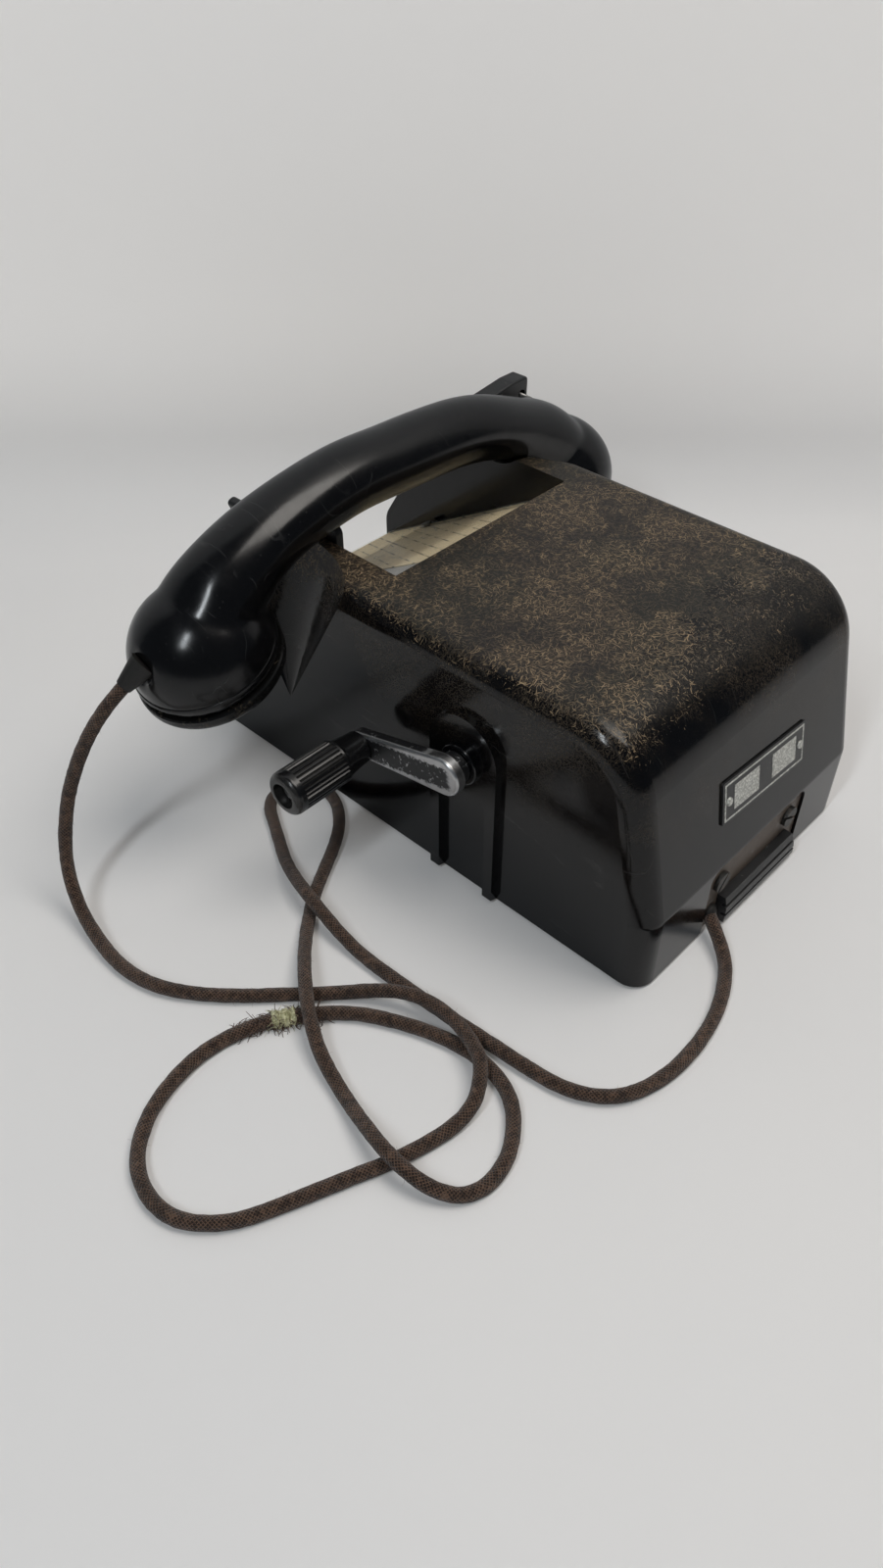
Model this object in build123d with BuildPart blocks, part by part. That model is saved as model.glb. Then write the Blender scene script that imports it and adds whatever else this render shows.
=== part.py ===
from build123d import *
import os
from math import sin, cos, tan, radians, pi

os.makedirs("parts", exist_ok=True)

# Magneto desk telephone. Millimetres, +Z up, origin on the table under the
# middle of the case. The crank is on +X, the cord leaves at the back (+Y),
# the card panel and the handset face the user at -Y.

# ---------------------------------------------------------------- case sizes
case_w = 133.2            # width over the side walls
case_d = 235.0            # depth from front lip to rear plinth
case_h = 101.8            # height of the level top
foot_gap = 1.4            # the feet lift the rim by this much
wall = 4.0                # moulded wall
plinth_h = 32.0           # upright band at the foot of the rear face
rear_tilt = 12.2          # lean of the rear face, degrees
rear_round = 28.0         # big radius from the top into the rear face
side_round = 8.5          # radius along the side edges
slope_round = 26.0        # where the top rolls into the front slope
lip_round = 12.0          # where the slope meets the front
plinth_round = 7.0        # where the rear face meets the plinth
front_slope_y = -84.0     # where the cheeks start to fall to the front
front_lip_z = 48.0        # height of the cheeks at the front
cheek_t = 19.6            # thickness of each cheek beside the trough
trough_back = -15.1       # rear border of the trough
panel_y = -36.7           # a point of the card panel's surface
panel_z = 84.8
panel_tilt = 29.8         # slope of the card panel, degrees
seat_deep = 2.0           # the card's seat lies this far under the panel's surface
hollow_in = 16.0          # how deep a hollow bites into the side at the top
# hollows beside the cups: side, middle y, radius at the top, height where it runs out
hollows = [(1, -57.0, 51.2, 36.8), (-1, -55.0, 54.0, 12.0)]
half_w = case_w / 2
mid_wall = half_w - cheek_t - 0.2   # half width of the room under the panel
y_back = case_d / 2
y_front = -case_d / 2
trough_w = case_w - 2 * cheek_t
rear_tan = tan(radians(rear_tilt))
panel_tan = tan(radians(panel_tilt))


def panel_at(y):
    # height of the panel's surface above a given y
    return panel_z + panel_tan * (y - panel_y)


def rear_at(z):
    # y of the leaning rear face at a given height
    return y_back - (z - plinth_h) * rear_tan


# --------------------------------------------------------------- crank sizes
crank_y = 37.5            # crank axis
crank_z = 61.0
boss_h = 2.8              # how far the arched boss stands off the side
boss_r = 15.8             # radius of the arch
boss_rise = 4.0           # centre of the arch above the shaft
leg_w = 5.4               # width of the boss's two legs
shaft_d = 8.0
run_fit = 0.05            # radial play of a running fit
bush_d = 16.0             # flange of the black bush
bush_t = 2.2
arm_gap = 4.4             # the arm's back face stands this far off the bush
arm_t = 4.0
arm_r = 7.6               # round end at the shaft
arm_tip_r = 5.4           # round end at the handle
arm_len = 40.7
arm_drop = 13.2           # the arm hangs below level by this, degrees
pin_d = 5.0               # handle pin
sleeve_d = 13.4
knob_d = 16.7
sleeve_len = 15.0         # plain sleeve, from the arm's back face to the ribbed grip
knob_len = 25.5           # ribbed grip
knob_ribs = 32
boss_x = half_w + boss_h
flange_x = boss_x + bush_t
arm_back = flange_x + arm_gap
knob_x0 = arm_back + sleeve_len
knob_end = knob_x0 + knob_len
handle_y = crank_y - arm_len * cos(radians(arm_drop))
handle_z = crank_z - arm_len * sin(radians(arm_drop))

# ------------------------------------------------------------- handset sizes
hs_x = 9.0                # middle of the handset
hs_y = -52.0
hs_z = case_h + 16.7
hs_reach = half_w + 31.4   # half length of the grip's centre line
hs_lift = 2.4             # the crank-side end lies a little higher, degrees
grip_half_h = 12.6        # half height of the grip at its middle
grip_half_w = 14.4        # half width there
# cups: distance along the grip, drop of the rim, outward lean of the top in degrees
cups = {1: (hs_reach - 2.8, -40.3, 21.0), -1: (0.8 - hs_reach, -37.5, 9.6)}
cup_r = 26.6              # cup radius at its rim
dome_h = 26.0             # height of the cup's dome
band_h = 4.3              # straight band under the dome
spigot_r = 24.2           # ring the cap screws onto
bowl_r = 22.6             # inside radius of the cup
bowl_h = 6.0              # the bowl reaches this far above the rim
capsule_r = 22.1
capsule_h = 9.0
cap_r = 27.6              # screwed cap
cap_h = 8.6
cap_gap = 0.3
boot_r = 5.2              # cord boot at the cup
boot_tip_r = 2.9
boot_len = 11.4

# --------------------------------------------------------- fittings' sizes
recess_x0 = -33.0         # terminal recess in the plinth
recess_x1 = 29.0
recess_top = 31.5
plate_inset = 1.2
plate_t = 1.6
base_t = 1.6
foot_r = 7.0
foot_in = 25.5            # feet stand this far in from the front and the back
post_r = 5.0
name_w = 52.4             # nameplate
name_h = 16.7
name_t = 0.8
name_x = -2.5
name_z = 56.0
name_turn = 3.6
holder_t = 0.8
card_t = 0.4
window_t = 0.6
card_split = -90.5        # y where the card ends and the front strip starts
bar_y = -78.0             # cradle bar, front face
bar_t = 8.5
ring_r = 6.7
ring_wire = 1.6
ring_hole = (-half_w - 17.9, case_h + 6.7)
ring_hole_r = 2.2
lever_x = trough_w / 2 - 2.2   # hook lever
lever_t = 3.2
lever_y = -52.0
lever_w = 12.0
lever_foot = 57.0         # lower end of the blade
lever_heel = 10.8         # heel that keeps the lever in
lever_heel_t = 3.0
lever_clear = 0.9         # gap between the lever and the lifted grip

# -------------------------------------------------------------- cord sizes
cord_d = 4.9
cord_z = cord_d / 2
cord_up = 7.8             # height of the centre line where it lies over itself
exit_x = 23.9
exit_y = 115.9
exit_z = 8.4

sleeve_r = 5.5            # the bush's sleeve in the case wall
t_screw_at = [(-24.5, 22.0), (20.5, 22.0)]
post_at = [(s * (half_w - wall - 4.2), y_back - wall - 4.2) for s in (1, -1)]
foot_at = [(s * (half_w - 16.6), y_back - foot_in) for s in (1, -1)]
foot_at += [(s * (mid_wall - 10.8), y_front + foot_in) for s in (1, -1)]
post_at += [(s * (mid_wall - 4.2), y_front + wall + 4.2) for s in (1, -1)]
card_screw_at = [(x, v) for v in (20.0, -58.0) for x in (4.5 - trough_w / 2, trough_w / 2 - 8.0)]
rivet_out = 22.6
rivet_at = [(s * rivet_out * cos(radians(name_turn)), -s * rivet_out * sin(radians(name_turn)))
            for s in (-1, 1)]
tilt = radians(panel_tilt)
panel_plane = Plane(origin=(0, panel_y, panel_z), x_dir=(1, 0, 0), z_dir=(0, -sin(tilt), cos(tilt)))
lean = radians(rear_tilt)
name_plane = Plane(origin=(name_x, rear_at(name_z), name_z), x_dir=(1, 0, 0),
                   z_dir=(0, cos(lean), sin(lean)))
lift = radians(hs_lift)


def hs_point(u, v):
    # a point of the handset's middle plane, u along the grip, v upward
    return (hs_x + u * cos(lift) - v * sin(lift), hs_y, hs_z + u * sin(lift) + v * cos(lift))


def hs_dir(angle):
    # a direction in the handset's middle plane, angle in degrees
    return (cos(radians(angle) + lift), 0, sin(radians(angle) + lift))


# =====================================================================
# CASE: one moulding, level top, big rear radius, trough for the handset
# =====================================================================
fall_top = (front_slope_y, case_h)
fall_foot = (y_front, front_lip_z)

with BuildPart() as case:
    with BuildSketch(Plane.YZ.offset(-half_w)) as side:
        with BuildLine():
            Polyline((y_back, foot_gap), (y_back, plinth_h), (rear_at(case_h), case_h),
                     fall_top, fall_foot, (y_front, foot_gap), close=True)
        make_face()
        fillet(side.vertices().sort_by_distance((rear_at(case_h), case_h))[0], rear_round)
        fillet(side.vertices().sort_by_distance(fall_top)[0], slope_round)
        fillet(side.vertices().sort_by_distance(fall_foot)[0], lip_round)
        fillet(side.vertices().sort_by_distance((y_back, plinth_h))[0], plinth_round)
    extrude(amount=case_w)
    sides = case.faces().filter_by(Axis.X)
    rim = [e for f in sides for e in f.edges() if e.center().Z > foot_gap + 0.1]
    fillet(rim, side_round)

    # room inside, under a wall of even thickness
    in_h = case_h - wall
    roof_y = rear_at(in_h) - wall / cos(radians(rear_tilt))
    with BuildSketch(Plane.YZ.offset(-(half_w - wall))) as room:
        with BuildLine():
            Polyline((y_back - wall, foot_gap), (y_back - wall, plinth_h), (roof_y, in_h),
                     (trough_back + wall, in_h), (trough_back + wall, foot_gap), close=True)
        make_face()
        fillet(room.vertices().sort_by_distance((roof_y, in_h))[0], rear_round - wall)
    extrude(amount=case_w - 2 * wall, mode=Mode.SUBTRACT)

    # room under the sloping panel
    drop = (wall + seat_deep) / cos(radians(panel_tilt))
    with BuildSketch(Plane.YZ.offset(-mid_wall)) as lower:
        with BuildLine():
            Polyline((trough_back + wall + 1, foot_gap),
                     (trough_back + wall + 1, panel_at(trough_back) - drop),
                     (y_front + wall, panel_at(y_front + wall) - drop),
                     (y_front + wall, foot_gap), close=True)
        make_face()
    extrude(amount=2 * mid_wall, mode=Mode.SUBTRACT)

    # trough for the handset, open to the front, floored by the panel seat
    seat = seat_deep / cos(radians(panel_tilt))
    with BuildSketch(Plane.YZ.offset(-trough_w / 2)) as trough:
        with BuildLine():
            Polyline((trough_back, case_h + 5), (trough_back, panel_at(trough_back) - seat),
                     (y_front - 5, panel_at(y_front - 5) - seat), (y_front - 5, case_h + 5), close=True)
        make_face()
    extrude(amount=trough_w, mode=Mode.SUBTRACT)

    # hollows in the side walls, where the handset's cups hang
    for (s, mid, top_r, foot) in hollows:
        k = (case_h + 1 - foot) / (case_h - foot)
        with BuildSketch(Plane((s * (half_w + 0.3), mid, foot), x_dir=(s, 0, 0))):
            Circle(0.3)
        with BuildSketch(Plane((s * (half_w + (top_r - hollow_in) * k), mid, case_h + 1), x_dir=(s, 0, 0))):
            Circle(top_r * k)
        loft(mode=Mode.SUBTRACT)

    # saddle in the far cheek, where the handset rests
    with BuildSketch(Plane(origin=hs_point(39.5 - hs_reach, -4.9), x_dir=(0, 1, 0), z_dir=hs_dir(17.5))):
        Ellipse(15.9, 13.7)
    extrude(amount=10, both=True, mode=Mode.SUBTRACT)

    # arched boss with two legs round the crank shaft, on the crank side only
    with BuildSketch(Plane.YZ.offset(half_w - 1)) as arch:
        with BuildLine():
            a = Line((crank_y - boss_r, foot_gap), (crank_y - boss_r, crank_z + boss_rise))
            ThreePointArc(a @ 1, (crank_y, crank_z + boss_rise + boss_r),
                          (crank_y + boss_r, crank_z + boss_rise))
            Line((crank_y + boss_r, crank_z + boss_rise), (crank_y + boss_r, foot_gap))
            Line((crank_y + boss_r, foot_gap), a @ 0)
        make_face()
        with BuildLine():
            Polyline((crank_y - boss_r + leg_w, foot_gap - 1),
                     (crank_y - boss_r + leg_w, crank_z - 13), (crank_y + boss_r - leg_w, crank_z - 13),
                     (crank_y + boss_r - leg_w, foot_gap - 1), close=True)
        make_face(mode=Mode.SUBTRACT)
    extrude(amount=1 + boss_h, taper=8)

    # bore for the crank bush
    with BuildSketch(Plane.YZ.offset(half_w - wall - 1)):
        with Locations((crank_y, crank_z)):
            Circle(sleeve_r + 0.05)
    extrude(amount=wall + boss_h + 2, mode=Mode.SUBTRACT)

    # recess for the terminal plate, open at the foot
    with BuildSketch(Plane.XZ.offset(-y_back - 1)) as rec:
        with Locations(((recess_x0 + recess_x1) / 2, (recess_top + foot_gap - 1) / 2)):
            Rectangle(recess_x1 - recess_x0, recess_top - foot_gap + 1)
        fillet(rec.vertices().group_by(Axis.Y)[-1], 5)
    extrude(amount=1 + plate_inset + plate_t, mode=Mode.SUBTRACT)
    with BuildSketch(Plane.XZ.offset(-y_back)):
        with Locations(*t_screw_at):
            Circle(1.6)
    extrude(amount=wall + 1, mode=Mode.SUBTRACT)

    # slot for the hook lever through the panel
    with BuildSketch(Plane.XY.offset(foot_gap + 20)):
        with Locations((lever_x, lever_y)):
            Rectangle(lever_t + 0.4, lever_w + 0.4)
    extrude(amount=case_h - 25, mode=Mode.SUBTRACT)

    # holes of the card screws and the nameplate rivets
    with BuildSketch(panel_plane.offset(0.5)):
        with Locations(*card_screw_at):
            Circle(1.25)
    extrude(amount=-7.5, mode=Mode.SUBTRACT)
    with BuildSketch(name_plane):
        with Locations(*rivet_at):
            Circle(0.8)
    extrude(amount=-3, mode=Mode.SUBTRACT)

    # corner posts for the base screws
    with BuildSketch(Plane.XY.offset(foot_gap + base_t)):
        with Locations(*post_at):
            Circle(post_r)
    extrude(amount=24)
    with BuildSketch(Plane.XY.offset(foot_gap + base_t - 1)):
        with Locations(*post_at):
            Circle(1.6)
    extrude(amount=13, mode=Mode.SUBTRACT)
case.part.label = "case"
export_step(case.part, "parts/case.step")
print("case", case.part.is_valid, len(case.solids()), round(case.part.volume))

# ---------------------------------------------------------------- base plate
with BuildPart() as base_plate:
    with BuildSketch(Plane.XY.offset(foot_gap)) as bp:
        rear_len = y_back - wall - (trough_back + wall) - 0.4
        with Locations((0, trough_back + wall + 0.2 + rear_len / 2)):
            Rectangle(2 * (half_w - wall) - 0.4, rear_len)
        front_len = trough_back + wall + 1 - (y_front + wall) - 0.2
        with Locations((0, y_front + wall + 0.2 + front_len / 2)):
            Rectangle(2 * mid_wall - 0.4, front_len)
        with Locations(*post_at):
            Circle(1.8, mode=Mode.SUBTRACT)
    extrude(amount=base_t)
base_plate.part.label = "base_plate"
export_step(base_plate.part, "parts/base_plate.step")

# ---------------------------------------------------------------------- feet
with BuildPart() as feet:
    with BuildSketch(Plane.XY):
        with Locations(*foot_at):
            Circle(foot_r)
    extrude(amount=foot_gap)
feet.part.label = "feet"
export_step(feet.part, "parts/feet.step")

# --------------------------------------------------------------- base screws
with BuildPart() as base_screws:
    with BuildSketch(Plane.XY.offset(foot_gap)):
        with Locations(*post_at):
            Circle(1.5)
    extrude(amount=11)
    with BuildSketch(Plane.XY.offset(foot_gap)):
        with Locations(*post_at):
            Circle(3.2)
    extrude(amount=-1.1)
    with BuildSketch(Plane.XY.offset(foot_gap - 1.1)):
        with Locations(*post_at):
            Rectangle(7, 0.9)
    extrude(amount=0.6, mode=Mode.SUBTRACT)
base_screws.part.label = "base_screws"
export_step(base_screws.part, "parts/base_screws.step")

# --------------------------------------------------------------- crank group
with BuildPart() as crank_bush:
    with BuildSketch(Plane.YZ.offset(half_w - wall - 2)):
        with Locations((crank_y, crank_z)):
            Circle(sleeve_r)
    extrude(amount=wall + boss_h + 2)
    with BuildSketch(Plane.YZ.offset(boss_x)):
        with Locations((crank_y, crank_z)):
            Circle(bush_d / 2)
    extrude(amount=bush_t)
    fillet(crank_bush.edges().group_by(Axis.X)[-1], 0.7)
    with BuildSketch(Plane.YZ.offset(half_w - wall - 3)):
        with Locations((crank_y, crank_z)):
            Circle(shaft_d / 2 + run_fit)
    extrude(amount=20, mode=Mode.SUBTRACT)
crank_bush.part.label = "crank_bush"
export_step(crank_bush.part, "parts/crank_bush.step")

shaft_in = 36.0           # inner end of the shaft
collar_r = 6.5
with BuildPart() as crank_shaft:
    with BuildSketch(Plane.YZ.offset(shaft_in)):
        with Locations((crank_y, crank_z)):
            Circle(shaft_d / 2)
    extrude(amount=arm_back + arm_t - 1 - shaft_in)
    # collar behind the wall keeps the shaft from being pulled out
    with BuildSketch(Plane.YZ.offset(half_w - wall - 2.3)):
        with Locations((crank_y, crank_z)):
            Circle(collar_r)
    extrude(amount=-4)
crank_shaft.part.label = "crank_shaft"
export_step(crank_shaft.part, "parts/crank_shaft.step")

with BuildPart() as crank_arm:
    with BuildSketch(Plane.YZ.offset(arm_back)) as arm_face:
        with Locations((crank_y, crank_z)):
            Circle(arm_r)
        with Locations((handle_y, handle_z)):
            Circle(arm_tip_r)
        make_hull()
    extrude(amount=arm_t)
    fillet(crank_arm.faces().sort_by(Axis.X)[-1].edges(), 1.2)
    with BuildSketch(Plane.YZ.offset(flange_x + 0.3)):
        with Locations((crank_y, crank_z)):
            Circle(6.0)
    extrude(amount=arm_back - flange_x - 0.3)
    with BuildSketch(Plane.YZ.offset(flange_x)):
        with Locations((crank_y, crank_z)):
            Circle(shaft_d / 2 + 0.02)
    extrude(amount=arm_back + arm_t - 1 - flange_x, mode=Mode.SUBTRACT)
    with BuildSketch(Plane.YZ.offset(arm_back - 1)):
        with Locations((handle_y, handle_z)):
            Circle(pin_d / 2 + 0.02)
    extrude(amount=arm_t + 2, mode=Mode.SUBTRACT)
crank_arm.part.label = "crank_arm"
export_step(crank_arm.part, "parts/crank_arm.step")

recess_floor = knob_end - 5.0
with BuildPart() as crank_pin:
    with BuildSketch(Plane.YZ.offset(arm_back)):
        with Locations((handle_y, handle_z)):
            Circle(pin_d / 2)
    extrude(amount=recess_floor + 0.3 - arm_back)
    with BuildSketch(Plane.YZ.offset(recess_floor + 0.3)):
        with Locations((handle_y, handle_z)):
            Circle(4.0)
    extrude(amount=1.5)
    fillet(crank_pin.edges().group_by(Axis.X)[-1], 0.8)
    with BuildSketch(Plane.YZ.offset(arm_back)):
        with Locations((handle_y, handle_z)):
            Circle(3.6)
    extrude(amount=-0.8)
    fillet(crank_pin.edges().group_by(Axis.X)[0], 0.5)
crank_pin.part.label = "crank_pin"
export_step(crank_pin.part, "parts/crank_pin.step")

with BuildPart() as crank_knob:
    # sleeve that widens toward the grip, then the grip with its rounded end
    x0 = arm_back + arm_t + 0.3
    with BuildSketch(Plane(origin=(0, handle_y, handle_z), x_dir=(1, 0, 0), z_dir=(0, -1, 0))) as prof:
        with BuildLine():
            k1 = Line((x0, pin_d / 2 + run_fit), (x0, sleeve_d / 2 - 0.5))
            k2 = Spline(k1 @ 1, (x0 + 5, sleeve_d / 2 - 0.1), (knob_x0 - 1, sleeve_d / 2 + 0.6))
            k3 = Line(k2 @ 1, (knob_x0, knob_d / 2 - 0.5))
            k4 = Line(k3 @ 1, (knob_x0 + 0.6, knob_d / 2))
            k5 = Line(k4 @ 1, (knob_end - 2.6, knob_d / 2))
            k6 = RadiusArc(k5 @ 1, (knob_end, knob_d / 2 - 2.6), 2.6)
            k7 = Line(k6 @ 1, (knob_end, 4.9))
            k8 = Line(k7 @ 1, (recess_floor, 4.75))
            k9 = Line(k8 @ 1, (recess_floor, pin_d / 2 + run_fit))
            Line(k9 @ 1, k1 @ 0)
        make_face()
    revolve(axis=Axis((0, handle_y, handle_z), (1, 0, 0)))
    # fine lengthwise grooves
    with BuildSketch(Plane.YZ.offset(knob_x0 + 1.4)):
        with Locations((handle_y, handle_z)):
            with PolarLocations(knob_d / 2, knob_ribs):
                Rectangle(0.66, 0.66, rotation=45)
    extrude(amount=knob_end - 4.4 - knob_x0 - 1.4, mode=Mode.SUBTRACT)
crank_knob.part.label = "crank_knob"
export_step(crank_knob.part, "parts/crank_knob.step")

# ---------------------------------------------------------------- cradle bar
# outline of the bar: beyond the side wall, and above the case's top
far_horn = [(-10.1, 0.0), (-7.1, -3.3), (9.4, -0.8), (21.9, 3.2), (21.9, 13.7), (12.4, 13.7),
            (-10.6, 10.8), (-14.6, 3.0)]
near_horn = [(-15.6, 3.0), (-6.1, 8.5), (-0.2, 15.4), (3.3, 14.4), (0.4, 6.8), (-10.6, 0.0)]
with BuildPart() as cradle_bar:
    with BuildSketch(Plane.XZ.offset(-bar_y - bar_t)) as bar:
        with BuildLine():
            Polyline(*[(-half_w - x, case_h + z) for (x, z) in far_horn],
                     *[(half_w + x, case_h + z) for (x, z) in near_horn], close=True)
        make_face()
        fillet([v for v in bar.vertices() if v.Y > case_h + 1.2], 1.6)
    extrude(amount=bar_t)
    fillet(cradle_bar.faces().filter_by(Axis.Y).edges().filter_by(lambda e: e.center().Z > case_h + 1.5), 1.0)
    with BuildSketch(Plane.XZ.offset(-bar_y - bar_t - 1)):
        with Locations(ring_hole):
            Circle(ring_hole_r)
    extrude(amount=bar_t + 2, mode=Mode.SUBTRACT)
cradle_bar.part.label = "cradle_bar"
export_step(cradle_bar.part, "parts/cradle_bar.step")

# ----------------------------------------------------------------- wire ring
hang = radians(214.0)     # direction from the hole to the ring's middle
ring_drop = ring_r - 0.6  # the wire rests on the hole's lower edge
ring_mid = (ring_hole[0] + ring_drop * cos(hang), bar_y + bar_t / 2, ring_hole[1] + ring_drop * sin(hang))
with BuildPart() as wire_ring:
    with BuildSketch(Plane(origin=ring_mid, x_dir=(0, 1, 0), z_dir=(cos(hang), 0, sin(hang)))):
        with Locations((ring_r, 0)):
            Circle(ring_wire / 2)
    revolve(axis=Axis(ring_mid, (-sin(hang), 0, cos(hang))))
wire_ring.part.label = "wire_ring"
export_step(wire_ring.part, "parts/wire_ring.step")

# ---------------------------------------------------------------- hook lever
grip_v = 0.8              # the grip's centre line over the lever
lever_top = hs_z + (lever_x - hs_x) * sin(lift) + grip_v - grip_half_h / cos(lift) - lever_clear
with BuildPart() as hook_lever:
    with BuildSketch(Plane.YZ.offset(lever_x - lever_t / 2)) as blade:
        with BuildLine():
            Polyline((lever_y - lever_w / 2, lever_foot), (lever_y - lever_w / 2, lever_top),
                     (lever_y + lever_w / 2, lever_top), (lever_y + lever_w / 2, lever_foot), close=True)
        make_face()
        fillet(blade.vertices().group_by(Axis.Y)[-1], 3)
    extrude(amount=lever_t)
    with Locations((lever_x + (lever_t - lever_heel) / 2, lever_y, lever_foot + lever_heel_t / 2)):
        Box(lever_heel, lever_w, lever_heel_t)
hook_lever.part.label = "hook_lever"
export_step(hook_lever.part, "parts/hook_lever.step")

# ------------------------------------------------------- card and its holder
rear_v = (trough_back - panel_y) / cos(tilt)
split_v = (card_split - panel_y) / cos(tilt)
front_v = (y_front - panel_y) / cos(tilt)
slot_v = (lever_y - panel_y) / cos(tilt)
slot_l = (lever_w + 0.6) / cos(tilt) + 4
half_t = trough_w / 2 - 0.3


def sheet(x0, x1, v0, v1, w, t, holes):
    # a thin sheet lying on the panel, with screw holes
    with BuildPart() as made:
        with BuildSketch(panel_plane.offset(w)):
            with Locations(((x0 + x1) / 2, (v0 + v1) / 2)):
                Rectangle(x1 - x0, v1 - v0)
            with Locations((lever_x, slot_v)):
                Rectangle(lever_t + 1.2, slot_l, mode=Mode.SUBTRACT)
            if holes:
                with Locations(*card_screw_at):
                    Circle(1.3, mode=Mode.SUBTRACT)
        extrude(amount=t)
    return made


card_holder = sheet(-half_t, half_t, front_v + 1.0, rear_v - 1.2, -seat_deep, holder_t, True)
card_holder.part.label = "card_holder"
export_step(card_holder.part, "parts/card_holder.step")

card_w = holder_t - seat_deep
card = sheet(-half_t + 0.2, 16.0, split_v, rear_v - 1.6, card_w, card_t, True)
card.part.label = "card"
export_step(card.part, "parts/card.step")

card_strip = sheet(-half_t + 0.2, half_t - 0.2, front_v + 1.4, split_v - 0.4, card_w, card_t, False)
card_strip.part.label = "card_strip"
export_step(card_strip.part, "parts/card_strip.step")

window_w = card_w + card_t
card_window = sheet(-half_t + 0.2, half_t - 5.1, front_v + 1.6, rear_v - 1.4, window_w, window_t, True)
card_window.part.label = "card_window"
export_step(card_window.part, "parts/card_window.step")

with BuildPart() as card_screws:
    with BuildSketch(panel_plane.offset(window_w + window_t)):
        with Locations(*card_screw_at):
            Circle(2.5)
    extrude(amount=1.1)
    with BuildSketch(panel_plane.offset(window_w + window_t + 1.1)):
        with Locations(*card_screw_at):
            Rectangle(6, 0.7)
    extrude(amount=-0.6, mode=Mode.SUBTRACT)
    with BuildSketch(panel_plane.offset(window_w + window_t)):
        with Locations(*card_screw_at):
            Circle(1.2)
    extrude(amount=-6)
card_screws.part.label = "card_screws"
export_step(card_screws.part, "parts/card_screws.step")

# ----------------------------------------------------------------- nameplate
with BuildPart() as nameplate:
    with BuildSketch(name_plane):
        RectangleRounded(name_w, name_h, 0.8, rotation=-name_turn)
        with Locations(*rivet_at):
            Circle(0.8, mode=Mode.SUBTRACT)
    extrude(amount=name_t)
nameplate.part.label = "nameplate"
export_step(nameplate.part, "parts/nameplate.step")

with BuildPart() as nameplate_rivets:
    with BuildSketch(name_plane.offset(name_t)):
        with Locations(*rivet_at):
            Circle(1.6)
    extrude(amount=0.8)
    fillet(nameplate_rivets.edges().filter_by(GeomType.CIRCLE).sort_by(Axis.Y)[-2:], 0.6)
    with BuildSketch(name_plane.offset(name_t)):
        with Locations(*rivet_at):
            Circle(0.75)
    extrude(amount=-3.4)
nameplate_rivets.part.label = "nameplate_rivets"
export_step(nameplate_rivets.part, "parts/nameplate_rivets.step")

# ------------------------------------------------------------- terminal area
plate_y = y_back - plate_inset
with BuildPart() as terminal_plate:
    with BuildSketch(Plane.XZ.offset(-plate_y)) as tp:
        with Locations(((recess_x0 + recess_x1) / 2, (recess_top - 0.1 + foot_gap) / 2)):
            Rectangle(recess_x1 - recess_x0 - 0.2, recess_top - 0.1 - foot_gap)
        fillet(tp.vertices().group_by(Axis.Y)[-1], 4.9)
        with Locations(*t_screw_at):
            Circle(1.7, mode=Mode.SUBTRACT)
    extrude(amount=plate_t)
terminal_plate.part.label = "terminal_plate"
export_step(terminal_plate.part, "parts/terminal_plate.step")

with BuildPart() as terminal_screws:
    with BuildSketch(Plane.XZ.offset(-plate_y)):
        with Locations(*t_screw_at):
            Circle(1.5)
    extrude(amount=7)
    with BuildSketch(Plane.XZ.offset(-plate_y)):
        with Locations(*t_screw_at):
            Circle(4.1)
    extrude(amount=-1.7)
    with BuildSketch(Plane.XZ.offset(-plate_y - 1.7)):
        for spot, turn in zip(t_screw_at, (28, -52)):
            with Locations(spot):
                Rectangle(9, 1.1, rotation=turn)
    extrude(amount=0.9, mode=Mode.SUBTRACT)
terminal_screws.part.label = "terminal_screws"
export_step(terminal_screws.part, "parts/terminal_screws.step")

with BuildPart() as terminal_cover:
    with BuildSketch(Plane.YZ.offset(-29.0)) as ribs:
        with BuildLine():
            Polyline((plate_y, 2.0), (plate_y + 4.4, 2.0), (plate_y + 4.7, 5.2), (plate_y + 2.6, 5.4),
                     (plate_y + 2.6, 6.4), (plate_y + 4.7, 6.6), (plate_y + 4.5, 9.6), (plate_y + 2.4, 9.8),
                     (plate_y + 2.4, 10.8), (plate_y + 4.2, 11.0), (plate_y + 3.4, 14.0),
                     (plate_y, 14.0), close=True)
        make_face()
    extrude(amount=48.4)
    # slanted end
    with BuildSketch(Plane.XZ.offset(-plate_y)):
        with BuildLine():
            Polyline((-30, 1), (-29, 1), (-25.5, 15), (-30, 15), close=True)
        make_face()
    extrude(amount=-6, mode=Mode.SUBTRACT)
terminal_cover.part.label = "terminal_cover"
export_step(terminal_cover.part, "parts/terminal_cover.step")

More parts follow.
